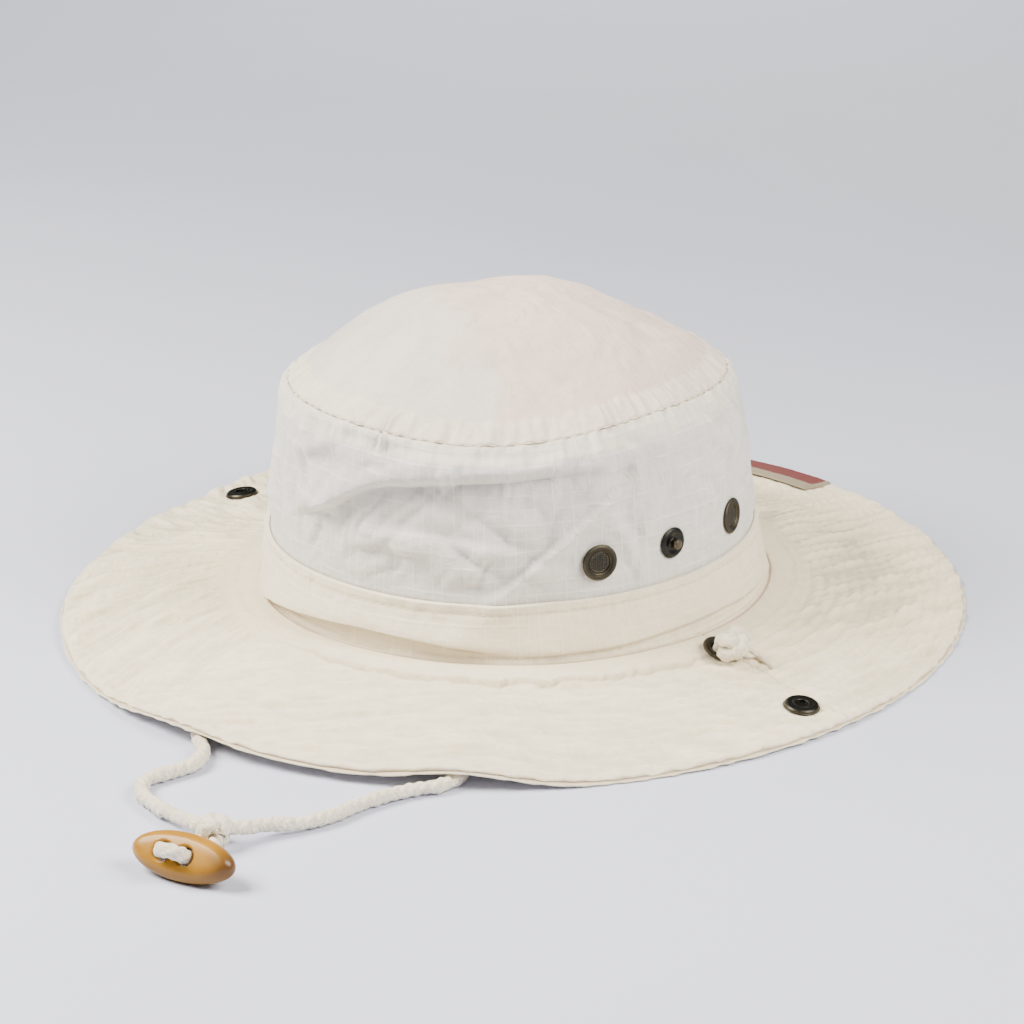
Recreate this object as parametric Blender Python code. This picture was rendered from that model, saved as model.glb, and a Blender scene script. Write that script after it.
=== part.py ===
"""A wide-brimmed cotton sun hat, resting on its brim as it would on a table.

The crown is an oval, domed tip sewn on an upright wall, with a band round the wall's foot. The brim is
two plies of cotton, stitched together. Each side has two screened vents and a press stud on the crown,
and a socket on the brim that takes the stud when the brim is turned up. A chin cord comes down through an
eyelet on each side, out under the front of the brim, and is knotted behind a wooden toggle.

Metres, +Z up, -Y to the front of the hat and +X to the side with the nearer fittings. The origin is on
the surface that the hat rests on, under the middle of the brim.
"""

import math
from typing import NamedTuple

import bmesh
import bpy
import numpy as np
from mathutils import Matrix, Vector

# Clearance between pieces that are sewn, riveted or laid on each other
GAP = 0.0003

# Crown, measured on the outside of its wall; the foot is where the wall meets the brim
FOOT_HALF_X = 0.0930
FOOT_HALF_Y = 0.0960
FOOT_HEIGHT = 0.0128
WALL_HEIGHT = 0.0796
DOME_RISE = 0.0342
CROWN_LEAN_X = 0.0008
CROWN_LEAN_Y = 0.0027
RIM_SAG = 0.0064
RIM_SAG_TURN = 122.0
SEAM_DIP = 0.0072
SEAM_DIP_TURN = -48.0
SEAM_DIP_SPREAD = 36.0
CROWN_THICK = 0.0010
FOLD_DEPTH = 0.0030

# Band round the foot of the crown
BAND_HEIGHT = 0.0225
BAND_THICK = 0.0012
BAND_FOLD_DEPTH = 0.0022

# Brim
BRIM_HALF_X = 0.1665
BRIM_HALF_Y = 0.1765
BRIM_THICK = 0.0020
BRIM_EASE = 0.5
WAVE_RISE = 0.0060
WAVE_FADE_POWER = 1.0
REST_PRESS = 0.0004
REST_BEGINS = 0.95
SEAM_RING_WIDTH = 0.0115
SEAM_RING_RISE = 0.0009

# Woven strip on the edge of the brim
LABEL_LENGTH = 0.0800
LABEL_WIDTH = 0.0165
LABEL_THICK = 0.0006
LABEL_INSET = 0.0012
LABEL_TURN = 100.3

# Fittings, mirrored on the two sides; turns are degrees from +X, towards the back
STUD_TURN = -4.0
STUD_HEIGHT = 0.0488
STUD_RADIUS = 0.0055
STUD_POST_RADIUS = 0.0019
STUD_POST_HEIGHT = 0.0026
VENT_TURN = -2.0
VENT_SPREAD = 22.5
VENT_HEIGHT = 0.0480
VENT_RADIUS = 0.0067
VENT_BORE = 0.0040
VENT_RIM = 0.0010
SCREEN_THICK = 0.0005
SOCKET_TURN = -3.0
SOCKET_OUT = 0.0580
SOCKET_RADIUS = 0.0063
SOCKET_HEIGHT = 0.0016
SOCKET_BORE = 0.0022
EYELET_TURN = -2.5
EYELET_OUT = 0.0155
EYELET_RADIUS = 0.0062
EYELET_RIM = 0.0009
BARREL_WALL = 0.0005
CORD_CLEARANCE = 0.0005

# Chin cord and what is tied on it
CORD_DIAMETER = 0.0052
BRIM_KNOT_LENGTH = 0.0155
BRIM_KNOT_WIDTH = 0.0120
BRIM_KNOT_HEIGHT = 0.0096
BRIM_KNOT_SHIFT = 0.0050
TOGGLE_KNOT_WIDTH = 0.0120
TOGGLE_KNOT_HEIGHT = 0.0112
TOGGLE_LENGTH = 0.0380
TOGGLE_WIDTH = 0.0160
TOGGLE_THICK = 0.0080
TOGGLE_HOLE_SPACING = 0.0092
TOGGLE_HOLE_SHIFT = -0.0030
TOGGLE_TURN = 17.0
TOGGLE_LEAN = 37.0
TOGGLE_PLACE = (0.0910, -0.2414)
TOGGLE_KNOT_PLACE = (0.0814, -0.2206)

RING_STEPS = 60
TURNED_STEPS = 12
CORD_RINGS = 2
CORD_STEP = 2.4
CORD_TURN = 24.0


class Section(NamedTuple):
    """A section of the crown: shares of WALL_HEIGHT, of the foot's sizes, of the lean and of the sag."""

    wall: float
    side: float
    length: float
    lean: float
    sag: float


WALL_SECTIONS = (
    Section(wall=0.00, side=1.000, length=1.000, lean=0.00, sag=0.00),
    Section(wall=0.27, side=0.950, length=0.980, lean=0.45, sag=0.05),
    Section(wall=0.58, side=0.930, length=0.968, lean=0.60, sag=0.20),
    Section(wall=0.83, side=0.892, length=0.958, lean=0.80, sag=0.60),
    Section(wall=0.95, side=0.842, length=0.932, lean=0.95, sag=0.90),
    Section(wall=1.00, side=0.804, length=0.915, lean=1.00, sag=1.00),
)
DOME_SHARES = (0.84, 0.66, 0.46, 0.24, 0.0)
SEAM_ROW = float(len(WALL_SECTIONS) - 1)
TOP_ROW = SEAM_ROW + len(DOME_SHARES)


class Fold(NamedTuple):
    """A soft ridge (depth over 0) or dent: its middle, and its half length and width, which are
    shares of WALL_HEIGHT, as its place up the wall is. Slant is degrees, rising to the right."""

    turn: float
    rise: float
    length: float
    width: float
    slant: float
    depth: float


WALL_FOLDS = (
    Fold(turn=-60.0, rise=0.80, length=0.62, width=0.075, slant=-4.0, depth=0.75),
    Fold(turn=-60.0, rise=0.62, length=0.60, width=0.070, slant=-4.0, depth=-0.85),
    Fold(turn=-36.0, rise=0.52, length=0.60, width=0.050, slant=42.0, depth=0.60),
    Fold(turn=-28.0, rise=0.44, length=0.60, width=0.080, slant=42.0, depth=-0.45),
    Fold(turn=-78.0, rise=0.36, length=0.45, width=0.090, slant=8.0, depth=-0.55),
    Fold(turn=-128.0, rise=0.78, length=0.28, width=0.110, slant=-25.0, depth=-0.60),
    Fold(turn=62.0, rise=0.60, length=0.40, width=0.120, slant=12.0, depth=-0.50),
    Fold(turn=150.0, rise=0.64, length=0.55, width=0.100, slant=-8.0, depth=-0.60),
)
BAND_FOLDS = (
    Fold(turn=-104.0, rise=0.135, length=0.42, width=0.045, slant=-14.0, depth=0.70),
    Fold(turn=-66.0, rise=0.080, length=0.45, width=0.050, slant=-6.0, depth=0.90),
    Fold(turn=2.0, rise=0.125, length=0.55, width=0.050, slant=12.0, depth=0.55),
)


# The toggle's outline from its back to its face: shares of its thickness and of its half width
TOGGLE_RINGS = ((-0.5, 0.45), (-0.44, 0.72), (-0.22, 0.94), (0.0, 1.0), (0.22, 0.94), (0.44, 0.72), (0.5, 0.45))


class Wave(NamedTuple):
    """A rise of the brim's edge: its middle and spread in degrees, its height a share of WAVE_RISE."""

    turn: float
    spread: float
    rise: float


EDGE_WAVES = (
    Wave(turn=-86.0, spread=13.0, rise=1.04),
    Wave(turn=-68.0, spread=9.0, rise=0.45),
    Wave(turn=-52.0, spread=9.5, rise=1.06),
    Wave(turn=-8.0, spread=26.0, rise=0.20),
    Wave(turn=-125.0, spread=16.0, rise=0.35),
    Wave(turn=170.0, spread=12.0, rise=0.42),
    Wave(turn=127.0, spread=17.0, rise=0.40),
)

# The cord's route on each side, chosen by hand: from under the eyelet to the toggle's knot
NEAR_ROUTE = (
    (0.1092, -0.0130, 0.0036),
    (0.1094, -0.0250, 0.0028),
    (0.1078, -0.0400, 0.0028),
    (0.1040, -0.0580, 0.0028),
    (0.0990, -0.0740, 0.0028),
    (0.0942, -0.0880, 0.0028),
    (0.0914, -0.1000, 0.0028),
    (0.0922, -0.1100, 0.0028),
    (0.0964, -0.1190, 0.0028),
    (0.1012, -0.1270, 0.0028),
    (0.1038, -0.1340, 0.0028),
    (0.1032, -0.1410, 0.0028),
    (0.0998, -0.1480, 0.0028),
    (0.0966, -0.1570, 0.0028),
    (0.0950, -0.1700, 0.0028),
    (0.0948, -0.1820, 0.0028),
    (0.0922, -0.1930, 0.0030),
    (0.0880, -0.2020, 0.0042),
)
FAR_ROUTE = (
    (-0.1092, -0.0130, 0.0036),
    (-0.1105, -0.0260, 0.0028),
    (-0.1065, -0.0430, 0.0028),
    (-0.0975, -0.0640, 0.0028),
    (-0.0830, -0.0830, 0.0028),
    (-0.0650, -0.0990, 0.0028),
    (-0.0450, -0.1105, 0.0028),
    (-0.0270, -0.1190, 0.0028),
    (-0.0120, -0.1275, 0.0028),
    (-0.0020, -0.1375, 0.0028),
    (0.0025, -0.1485, 0.0028),
    (0.0060, -0.1590, 0.0028),
    (0.0115, -0.1680, 0.0028),
    (0.0195, -0.1742, 0.0028),
    (0.0278, -0.1800, 0.0028),
    (0.0322, -0.1888, 0.0028),
    (0.0310, -0.1985, 0.0028),
    (0.0302, -0.2070, 0.0028),
    (0.0370, -0.2145, 0.0028),
    (0.0490, -0.2180, 0.0030),
    (0.0620, -0.2192, 0.0040),
)


def material(name, color, roughness, metallic=0.0):
    """A Principled material of one colour, roughness and metallic value."""
    made = bpy.data.materials.new(name)
    made.use_nodes = True
    shader = made.node_tree.nodes["Principled BSDF"]
    shader.inputs["Base Color"].default_value = (*color, 1.0)
    shader.inputs["Roughness"].default_value = roughness
    shader.inputs["Metallic"].default_value = metallic
    made.diffuse_color = (*color, 1.0)
    return made


def link(name, data, finish):
    """An object of the given mesh or curve, in the scene, with its own material."""
    made = bpy.data.objects.new(name, data)
    made.data.materials.append(finish)
    bpy.context.scene.collection.objects.link(made)
    return made


def solid(name, points, faces, finish, sharp=40.0):
    """A closed mesh object with its faces pointing out and its round stretches shaded smooth."""
    mesh = bpy.data.meshes.new(name)
    mesh.from_pydata([tuple(p) for p in points], [], faces)
    work = bmesh.new()
    work.from_mesh(mesh)
    bmesh.ops.recalc_face_normals(work, faces=work.faces)
    work.to_mesh(mesh)
    work.free()
    mesh.shade_smooth()
    mesh.set_sharp_from_angle(angle=math.radians(sharp))
    return link(name, mesh, finish)


def turns():
    """The angles, in radians, of the points round every sewn piece."""
    return np.linspace(0.0, 2.0 * math.pi, RING_STEPS, endpoint=False)


def from_turn(theta, turn):
    """Degrees from a turn to each angle, from -180 to 180."""
    return (np.degrees(theta) - turn + 180.0) % 360.0 - 180.0


def oval_radius(theta, half_x, half_y):
    """Radius of an ellipse with the given half widths at each angle."""
    return 1.0 / np.hypot(np.cos(theta) / half_x, np.sin(theta) / half_y)


def through_rows(rows, place):
    """A smooth curve through a table's rows, read at a place counted in rows."""
    first = int(min(max(math.floor(place), 0), len(rows) - 2))
    part = place - first
    near = [rows[min(max(first + step, 0), len(rows) - 1)] for step in (-1, 0, 1, 2)]
    slope_in = (near[2] - near[0]) / 2.0
    slope_out = (near[3] - near[1]) / 2.0
    return (
        near[1] * (1.0 + 2.0 * part) * (1.0 - part) ** 2
        + slope_in * part * (1.0 - part) ** 2
        + near[2] * part**2 * (3.0 - 2.0 * part)
        - slope_out * part**2 * (1.0 - part)
    )


def crown_rows():
    """Height, half widths, and shares of lean and sag of each section, from the foot to the middle.

    Above the seam the tip is a paraboloid: at a share s of the way out it stands DOME_RISE times
    one less s squared over the seam."""
    rows = [
        (
            FOOT_HEIGHT + WALL_HEIGHT * row.wall,
            FOOT_HALF_X * row.side,
            FOOT_HALF_Y * row.length,
            row.lean,
            row.sag,
        )
        for row in WALL_SECTIONS
    ]
    height, half_x, half_y, lean, sag = rows[-1]
    for share in DOME_SHARES:
        rise = DOME_RISE * (1.0 - share**2)
        rows.append((height + rise, half_x * share, half_y * share, lean, sag * share))
    return [np.array(row) for row in rows]


CROWN_ROWS = crown_rows()


def crown_smooth(theta, place):
    """Points of the crown's outside before its folds, round one section."""
    height, half_x, half_y, lean, sag = through_rows(CROWN_ROWS, place)
    radius = oval_radius(theta, half_x, half_y) if half_x > GAP else np.zeros_like(theta)
    drop = RIM_SAG * np.cos(np.radians(from_turn(theta, RIM_SAG_TURN)))
    drop += SEAM_DIP * np.exp(-((from_turn(theta, SEAM_DIP_TURN) / SEAM_DIP_SPREAD) ** 2))
    x = radius * np.cos(theta) - CROWN_LEAN_X * lean
    y = radius * np.sin(theta) - CROWN_LEAN_Y * lean
    return np.stack([x, y, height - drop * sag], axis=-1)


def crown_normals(theta, place):
    """Outward normals of the crown's outside before its folds."""
    step = 0.02
    around = crown_smooth(theta + step, place) - crown_smooth(theta - step, place)
    up = crown_smooth(theta, min(place + step, TOP_ROW - step)) - crown_smooth(
        theta, max(min(place, TOP_ROW - 2.0 * step) - step, 0.0)
    )
    normal = np.cross(around, up)
    size = np.linalg.norm(normal, axis=-1, keepdims=True)
    return np.where(size > 1e-12, normal / np.maximum(size, 1e-12), (0.0, 0.0, 1.0))


def relief(theta, rise, folds, depth):
    """How far the folds push a wall out at each angle and share of the wall's height: each fold is
    a bell curve across and along its own slanted line."""
    total = np.zeros_like(theta)
    for fold in folds:
        across_turn = np.radians(from_turn(theta, fold.turn)) * FOOT_HALF_X / WALL_HEIGHT
        above = rise - fold.rise
        slant = math.radians(fold.slant)
        along = across_turn * math.cos(slant) + above * math.sin(slant)
        over = above * math.cos(slant) - across_turn * math.sin(slant)
        total += fold.depth * np.exp(-((along / fold.length) ** 2) - (over / fold.width) ** 2)
    return depth * total


def wall_rise(place):
    """Share of the wall's height at a place in the crown's rows."""
    return (through_rows(CROWN_ROWS, place)[0] - FOOT_HEIGHT) / WALL_HEIGHT


def crown_outside(theta, place):
    """Points of the crown's outside, with the wall's folds, which die out towards foot and seam."""
    rise = wall_rise(place)
    calm = min(max(rise / 0.12, 0.0), 1.0) * min(max((0.96 - rise) / 0.10, 0.0), 1.0)
    push = relief(theta, rise, WALL_FOLDS, FOLD_DEPTH) * calm
    return crown_smooth(theta, place) + crown_normals(theta, place) * push[:, None]


def crown_inside(theta, place):
    """Points of the crown's inside, one thickness of cloth in."""
    return crown_outside(theta, place) - crown_normals(theta, place) * CROWN_THICK


def band_outside(theta, place):
    """Points of the band's outside, over the wall, with the band's own fold."""
    push = GAP + BAND_THICK + relief(theta, wall_rise(place), BAND_FOLDS, BAND_FOLD_DEPTH)
    return crown_outside(theta, place) + crown_normals(theta, place) * push[:, None]


def band_inside(theta, place):
    """Points of the band's inside, a gap over the wall."""
    return crown_outside(theta, place) + crown_normals(theta, place) * GAP


def row_at_rise(rise):
    """The place in the crown's rows whose height is a share of the wall's."""
    low, high = 0.0, SEAM_ROW
    for _ in range(40):
        middle = (low + high) / 2.0
        if wall_rise(middle) < rise:
            low = middle
        else:
            high = middle
    return (low + high) / 2.0


def brim_hole(theta):
    """Radius of the hole in the brim, flush with the inside of the crown's wall."""
    return oval_radius(theta, FOOT_HALF_X - CROWN_THICK, FOOT_HALF_Y - CROWN_THICK)


def brim_edge(theta):
    """Radius of the brim's edge."""
    return oval_radius(theta, BRIM_HALF_X, BRIM_HALF_Y)


def wave_height(theta):
    """How high the waves lift the brim's edge: one bell curve of the angle for each row."""
    total = np.zeros_like(theta)
    for wave in EDGE_WAVES:
        total += wave.rise * np.exp(-((from_turn(theta, wave.turn) / wave.spread) ** 2))
    return WAVE_RISE * total


def brim_under_height(theta, out):
    """Height of the brim's underside a share of the way out: it falls from the crown's foot along a
    blend of a straight line and half a cosine wave, the waves of the edge grow outwards, and it is
    pressed flat where it rests."""
    easing = 0.5 + 0.5 * np.cos(math.pi * out)
    fall = (FOOT_HEIGHT - BRIM_THICK) * ((1.0 - BRIM_EASE) * (1.0 - out) + BRIM_EASE * easing)
    lift = wave_height(theta) * out**WAVE_FADE_POWER - REST_PRESS * out
    return np.maximum(fall + lift, 0.0)


def brim_point(theta, distance, above):
    """Points of the brim a distance out from its hole, at a height over its underside."""
    hole = brim_hole(theta)
    width = brim_edge(theta) - hole
    radius = hole + distance
    height = brim_under_height(theta, np.clip(distance / width, 0.0, 1.0)) + above
    return np.stack([radius * np.cos(theta), radius * np.sin(theta), height], axis=-1)


def seam_ring_start():
    """Distance from the brim's hole to the outside of the band, where the raised seam begins."""
    return CROWN_THICK + GAP + BAND_THICK


def seam_ring_rise(distance):
    """Height of the raised seam round the crown: a flat-topped step with sloping sides."""
    begin = seam_ring_start() + GAP
    side = SEAM_RING_WIDTH / 4.0
    up = (distance - begin) / side
    down = (begin + SEAM_RING_WIDTH + side - distance) / side
    return SEAM_RING_RISE * min(max(min(up, down), 0.0), 1.0)


def brim_top(theta, distance):
    """Points of the brim's top a distance out from its hole."""
    return brim_point(theta, distance, BRIM_THICK + seam_ring_rise(distance))


def brim_frame(turn, distance):
    """A point on the brim's top and the normal there."""
    theta = np.array([math.radians(turn)])
    step = 0.0005
    point = brim_top(theta, distance)[0]
    out = brim_top(theta, distance + step)[0] - brim_top(theta, distance - step)[0]
    around = brim_top(theta + step, distance)[0] - brim_top(theta - step, distance)[0]
    normal = np.cross(out, around)
    return point, normal / np.linalg.norm(normal)


def shell(name, outside, inside, finish):
    """A closed body between two grids of rings, joined at both ends. A last ring of no width is the
    pole of both grids, where each closes in a fan."""
    poles = np.ptp(outside[-1], axis=0).max() < GAP
    points = []
    faces = []
    rims = []
    for grid, flip in ((outside, False), (inside, True)):
        rings = grid[:-1] if poles else grid
        first = len(points)
        for ring in rings:
            points.extend(ring)
        rims.append((first, first + (len(rings) - 1) * RING_STEPS))
        for row in range(len(rings) - 1):
            for step in range(RING_STEPS):
                after = (step + 1) % RING_STEPS
                a = first + row * RING_STEPS + step
                b = first + row * RING_STEPS + after
                above = (b + RING_STEPS, a + RING_STEPS)
                faces.append((a, *above[::-1], b) if flip else (a, b, *above))
        if poles:
            points.append(grid[-1][0])
            last = rims[-1][1]
            for step in range(RING_STEPS):
                fan = (last + step, last + (step + 1) % RING_STEPS, len(points) - 1)
                faces.append(fan[::-1] if flip else fan)
    ends = [0] if poles else [0, 1]
    for end in ends:
        for step in range(RING_STEPS):
            after = (step + 1) % RING_STEPS
            faces.append((rims[0][end] + step, rims[1][end] + step, rims[1][end] + after, rims[0][end] + after))
    return solid(name, points, faces, finish)


def seam_step():
    """Half the seam's gap, counted in rows of the crown."""
    theta = np.zeros(1)
    step = 0.05
    run = np.linalg.norm(crown_smooth(theta, SEAM_ROW + step) - crown_smooth(theta, SEAM_ROW - step))
    return 0.6 * GAP * (2.0 * step) / run


def make_crown_wall(finish):
    """The upright wall, from a gap over the brim to the tip's seam."""
    theta = turns()
    foot = row_at_rise(GAP * 2.0 / WALL_HEIGHT)
    top = SEAM_ROW - seam_step()
    band = BAND_HEIGHT / WALL_HEIGHT
    rises = [band / 2.0, band] + [band + (1.0 - band) * share for share in (0.18, 0.35, 0.52, 0.69, 0.82, 0.93)]
    places = [foot, *[row_at_rise(rise) for rise in rises], top]
    outside = [crown_outside(theta, place) for place in places]
    inside = [crown_inside(theta, place) for place in places]
    return shell("crown_wall", outside, inside, finish)


def make_crown_tip(finish):
    """The domed oval tip, from its seam to its middle."""
    theta = turns()
    places = np.concatenate(([SEAM_ROW + seam_step()], np.linspace(SEAM_ROW + 0.6, TOP_ROW, 6)))
    outside = [crown_outside(theta, place) for place in places]
    inside = [crown_inside(theta, place) for place in places]
    return shell("crown_tip", outside, inside, finish)


def make_hat_band(finish):
    """The band round the wall's foot, from a gap over the brim up to its turned edge."""
    theta = turns()
    foot = GAP * 1.5 / WALL_HEIGHT
    top = BAND_HEIGHT / WALL_HEIGHT
    outer_rows = [row_at_rise(foot + (top - foot) * share) for share in (0.0, 0.2, 0.4, 0.6, 0.8, 1.0)]
    inner_rows = [row_at_rise(rise) for rise in (foot, top / 2.0, top)]
    outside = [band_outside(theta, place) for place in outer_rows]
    inside = [band_inside(theta, place) for place in inner_rows]
    return shell("hat_band", outside, inside, finish)


def brim_distances():
    """Distances out from the hole of the rings on the brim's top, as shares of each angle's width
    beyond the raised seam."""
    ring_end = seam_ring_start() + GAP + SEAM_RING_WIDTH + SEAM_RING_WIDTH / 4.0
    side = SEAM_RING_WIDTH / 4.0
    near = [0.0, seam_ring_start() + GAP, seam_ring_start() + GAP + side, ring_end - side, ring_end]
    return near


def make_brim(finish):
    """The brim: two plies as one sheet, with a raised seam round the crown and a rounded hem."""
    theta = turns()
    width = brim_edge(theta) - brim_hole(theta)
    hem = BRIM_THICK / 4.0
    near = brim_distances()
    outside = [brim_top(theta, distance) for distance in near]
    for share in (0.14, 0.30, 0.46, 0.62, 0.80, 1.0):
        distance = near[-1] + (width - hem - near[-1]) * share
        outside.append(brim_point(theta, distance, BRIM_THICK))
    outside.append(brim_point(theta, width, BRIM_THICK / 2.0))
    under = (0.0, 0.2, 0.42, 0.64, 0.82, REST_BEGINS, 1.0)
    inside = [brim_point(theta, (width - hem) * share, 0.0) for share in under]
    return shell("brim", outside, inside, finish)


def make_brim_label(finish):
    """The woven strip along the edge of the brim, a thin curved plate on its top."""
    along = 9
    middle = math.radians(LABEL_TURN)
    radius = float(brim_edge(np.array([middle]))[0]) - LABEL_INSET
    half = LABEL_LENGTH / 2.0 / radius
    theta = np.linspace(middle - half, middle + half, along)
    width = brim_edge(theta) - brim_hole(theta)
    points = []
    for lift in (GAP * 1.5, GAP * 1.5 + LABEL_THICK):
        for share in (0.0, 0.5, 1.0):
            distance = width - LABEL_INSET - LABEL_WIDTH * (1.0 - share)
            points.extend(brim_point(theta, distance, BRIM_THICK + lift))
    rows = 3
    faces = []
    layer = rows * along
    for row in range(rows - 1):
        for step in range(along - 1):
            a = row * along + step
            faces.append((a, a + along, a + along + 1, a + 1))
            faces.append((layer + a, layer + a + 1, layer + a + along + 1, layer + a + along))
    border = [step for step in range(along)]
    border += [row * along + along - 1 for row in range(1, rows)]
    border += [(rows - 1) * along + step for step in range(along - 2, -1, -1)]
    border += [row * along for row in range(rows - 2, 0, -1)]
    for index, a in enumerate(border):
        b = border[(index + 1) % len(border)]
        faces.append((a, b, b + layer, a + layer))
    return solid("brim_label", points, faces, finish)


def turned(name, profile, finish, steps=TURNED_STEPS):
    """A body turned round +Z from a closed outline of (radius, height) points. An outline that
    begins and ends on the axis closes in two fans."""
    on_axis = profile[0][0] < GAP
    spun = profile[1:-1] if on_axis else profile
    points = []
    faces = []
    for radius, height in spun:
        for step in range(steps):
            angle = 2.0 * math.pi * step / steps
            points.append((radius * math.cos(angle), radius * math.sin(angle), height))
    count = len(spun)
    pairs = count - 1 if on_axis else count
    for row in range(pairs):
        below = row * steps
        above = ((row + 1) % count) * steps
        for step in range(steps):
            after = (step + 1) % steps
            faces.append((below + step, below + after, above + after, above + step))
    if on_axis:
        for height, row in ((profile[0][1], 0), (profile[-1][1], count - 1)):
            points.append((0.0, 0.0, height))
            for step in range(steps):
                faces.append((row * steps + step, row * steps + (step + 1) % steps, len(points) - 1))
    return solid(name, points, faces, finish)


def place_on(made, point, normal, lift=0.0):
    """Stand a piece on a point with its own +Z along a normal."""
    made.rotation_mode = "QUATERNION"
    made.rotation_quaternion = Vector(normal).to_track_quat("Z", "Y")
    made.location = Vector(point) + Vector(normal) * lift


def wall_frame(turn, height):
    """A point on the outside of the crown's wall at a height, and the normal there."""
    theta = np.array([math.radians(turn)])
    place = row_at_rise((height - FOOT_HEIGHT) / WALL_HEIGHT)
    return crown_outside(theta, place)[0], crown_normals(theta, place)[0], place


def wall_seat(turn, height, radius):
    """How far a disc has to stand off the wall to clear its roundness and its folds."""
    point, normal, place = wall_frame(turn, height)
    span = radius / WALL_HEIGHT
    spread = math.degrees(radius / FOOT_HALF_X)
    highest = 0.0
    for up in (-1.0, -0.5, 0.0, 0.5, 1.0):
        for side in (-1.0, -0.5, 0.0, 0.5, 1.0):
            theta = np.array([math.radians(turn + side * spread)])
            near = crown_outside(theta, row_at_rise(wall_rise(place) + up * span))[0]
            highest = max(highest, float(np.dot(near - point, normal)))
    return point, normal, highest + GAP


def brim_seat(turn, distance, radius):
    """How far a disc has to stand off the brim's top to clear its curve and its raised seam."""
    point, normal = brim_frame(turn, distance)
    spread = math.degrees(radius / float(brim_hole(np.array([math.radians(turn)]))[0]))
    highest = 0.0
    for out in (-1.0, -0.5, 0.0, 0.5, 1.0):
        for side in (-1.0, 0.0, 1.0):
            theta = np.array([math.radians(turn + side * spread)])
            near = brim_top(theta, distance + out * radius)[0]
            highest = max(highest, float(np.dot(near - point, normal)))
    return point, normal, highest + GAP


def cutter(name, radius, depth, point, normal):
    """A plain bar that a hole is cut with, centred on a point along a normal."""
    mesh = bpy.data.meshes.new(name)
    work = bmesh.new()
    bmesh.ops.create_cone(
        work, cap_ends=True, segments=TURNED_STEPS, radius1=radius, radius2=radius, depth=depth
    )
    work.to_mesh(mesh)
    work.free()
    bar = bpy.data.objects.new(name, mesh)
    bpy.context.scene.collection.objects.link(bar)
    bar.hide_render = True
    bar.display_type = "WIRE"
    place_on(bar, point, normal)
    return bar


def cut(made, bar):
    """Cut a hole in a piece with an exact boolean."""
    hole = made.modifiers.new(bar.name, "BOOLEAN")
    hole.object = bar
    hole.operation = "DIFFERENCE"
    hole.solver = "EXACT"


def grommet_profile(radius, bore, rim, barrel):
    """Outline of an eyelet: a domed flange on the cloth and a barrel down through it."""
    outer = bore + BARREL_WALL
    return [
        (bore, -barrel),
        (outer, -barrel),
        (outer, 0.0),
        (radius, 0.0),
        (radius, rim * 0.35),
        ((radius * 2.0 + bore) / 3.0, rim),
        ((radius + bore * 2.0) / 3.0, rim),
        (bore, rim * 0.35),
    ]


def side_turns(turn):
    """A fitting's turn on the near side and its mirror on the far side, with their names."""
    return (("near", turn), ("far", 180.0 - turn))


def make_vents(wall, brass, mesh_finish):
    """Four screened vent eyelets set in holes in the wall, two on each side."""
    for side, middle in side_turns(VENT_TURN):
        for end, offset in (("front", -VENT_SPREAD), ("back", VENT_SPREAD)):
            turn = middle + (offset if side == "near" else -offset)
            point, normal, lift = wall_seat(turn, VENT_HEIGHT, VENT_RADIUS)
            label = f"{side}_{end}"
            barrel = lift + CROWN_THICK + GAP
            profile = grommet_profile(VENT_RADIUS, VENT_BORE, VENT_RIM, barrel)
            ring = turned(f"vent_ring_{label}", profile, brass)
            place_on(ring, point, normal, lift)
            edge = VENT_BORE - GAP
            disc = [(0.0, -SCREEN_THICK), (edge, -SCREEN_THICK), (edge, 0.0), (0.0, SCREEN_THICK / 3.0)]
            screen = turned(f"vent_screen_{label}", disc, mesh_finish)
            place_on(screen, point, normal, lift)
            bar_radius = VENT_BORE + BARREL_WALL + GAP
            cut(wall, cutter(f"vent_hole_{label}", bar_radius, FOLD_DEPTH * 4.0, point, normal))


def make_snaps(brass):
    """A press stud on each side of the crown and its socket on each side of the brim."""
    for side, turn in side_turns(STUD_TURN):
        point, normal, lift = wall_seat(turn, STUD_HEIGHT, STUD_RADIUS)
        foot = STUD_POST_HEIGHT * 0.4
        tip = STUD_POST_HEIGHT + foot
        profile = [
            (0.0, 0.0),
            (STUD_RADIUS, 0.0),
            (STUD_RADIUS, foot * 0.4),
            (STUD_RADIUS * 0.75, foot),
            (STUD_POST_RADIUS * 0.85, foot),
            (STUD_POST_RADIUS, foot + STUD_POST_HEIGHT * 0.6),
            (STUD_POST_RADIUS * 0.6, tip),
            (0.0, tip),
        ]
        place_on(turned(f"snap_stud_{side}", profile, brass), point, normal, lift)
    for side, turn in side_turns(SOCKET_TURN):
        point, normal, lift = brim_seat(turn, SOCKET_OUT, SOCKET_RADIUS)
        well = SOCKET_HEIGHT * 0.35
        profile = [
            (0.0, 0.0),
            (SOCKET_RADIUS, 0.0),
            (SOCKET_RADIUS, SOCKET_HEIGHT * 0.4),
            (SOCKET_RADIUS * 0.85, SOCKET_HEIGHT),
            (SOCKET_BORE * 1.5, SOCKET_HEIGHT),
            (SOCKET_BORE, SOCKET_HEIGHT * 0.8),
            (SOCKET_BORE, well),
            (0.0, well),
        ]
        place_on(turned(f"snap_socket_{side}", profile, brass), point, normal, lift)


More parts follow.
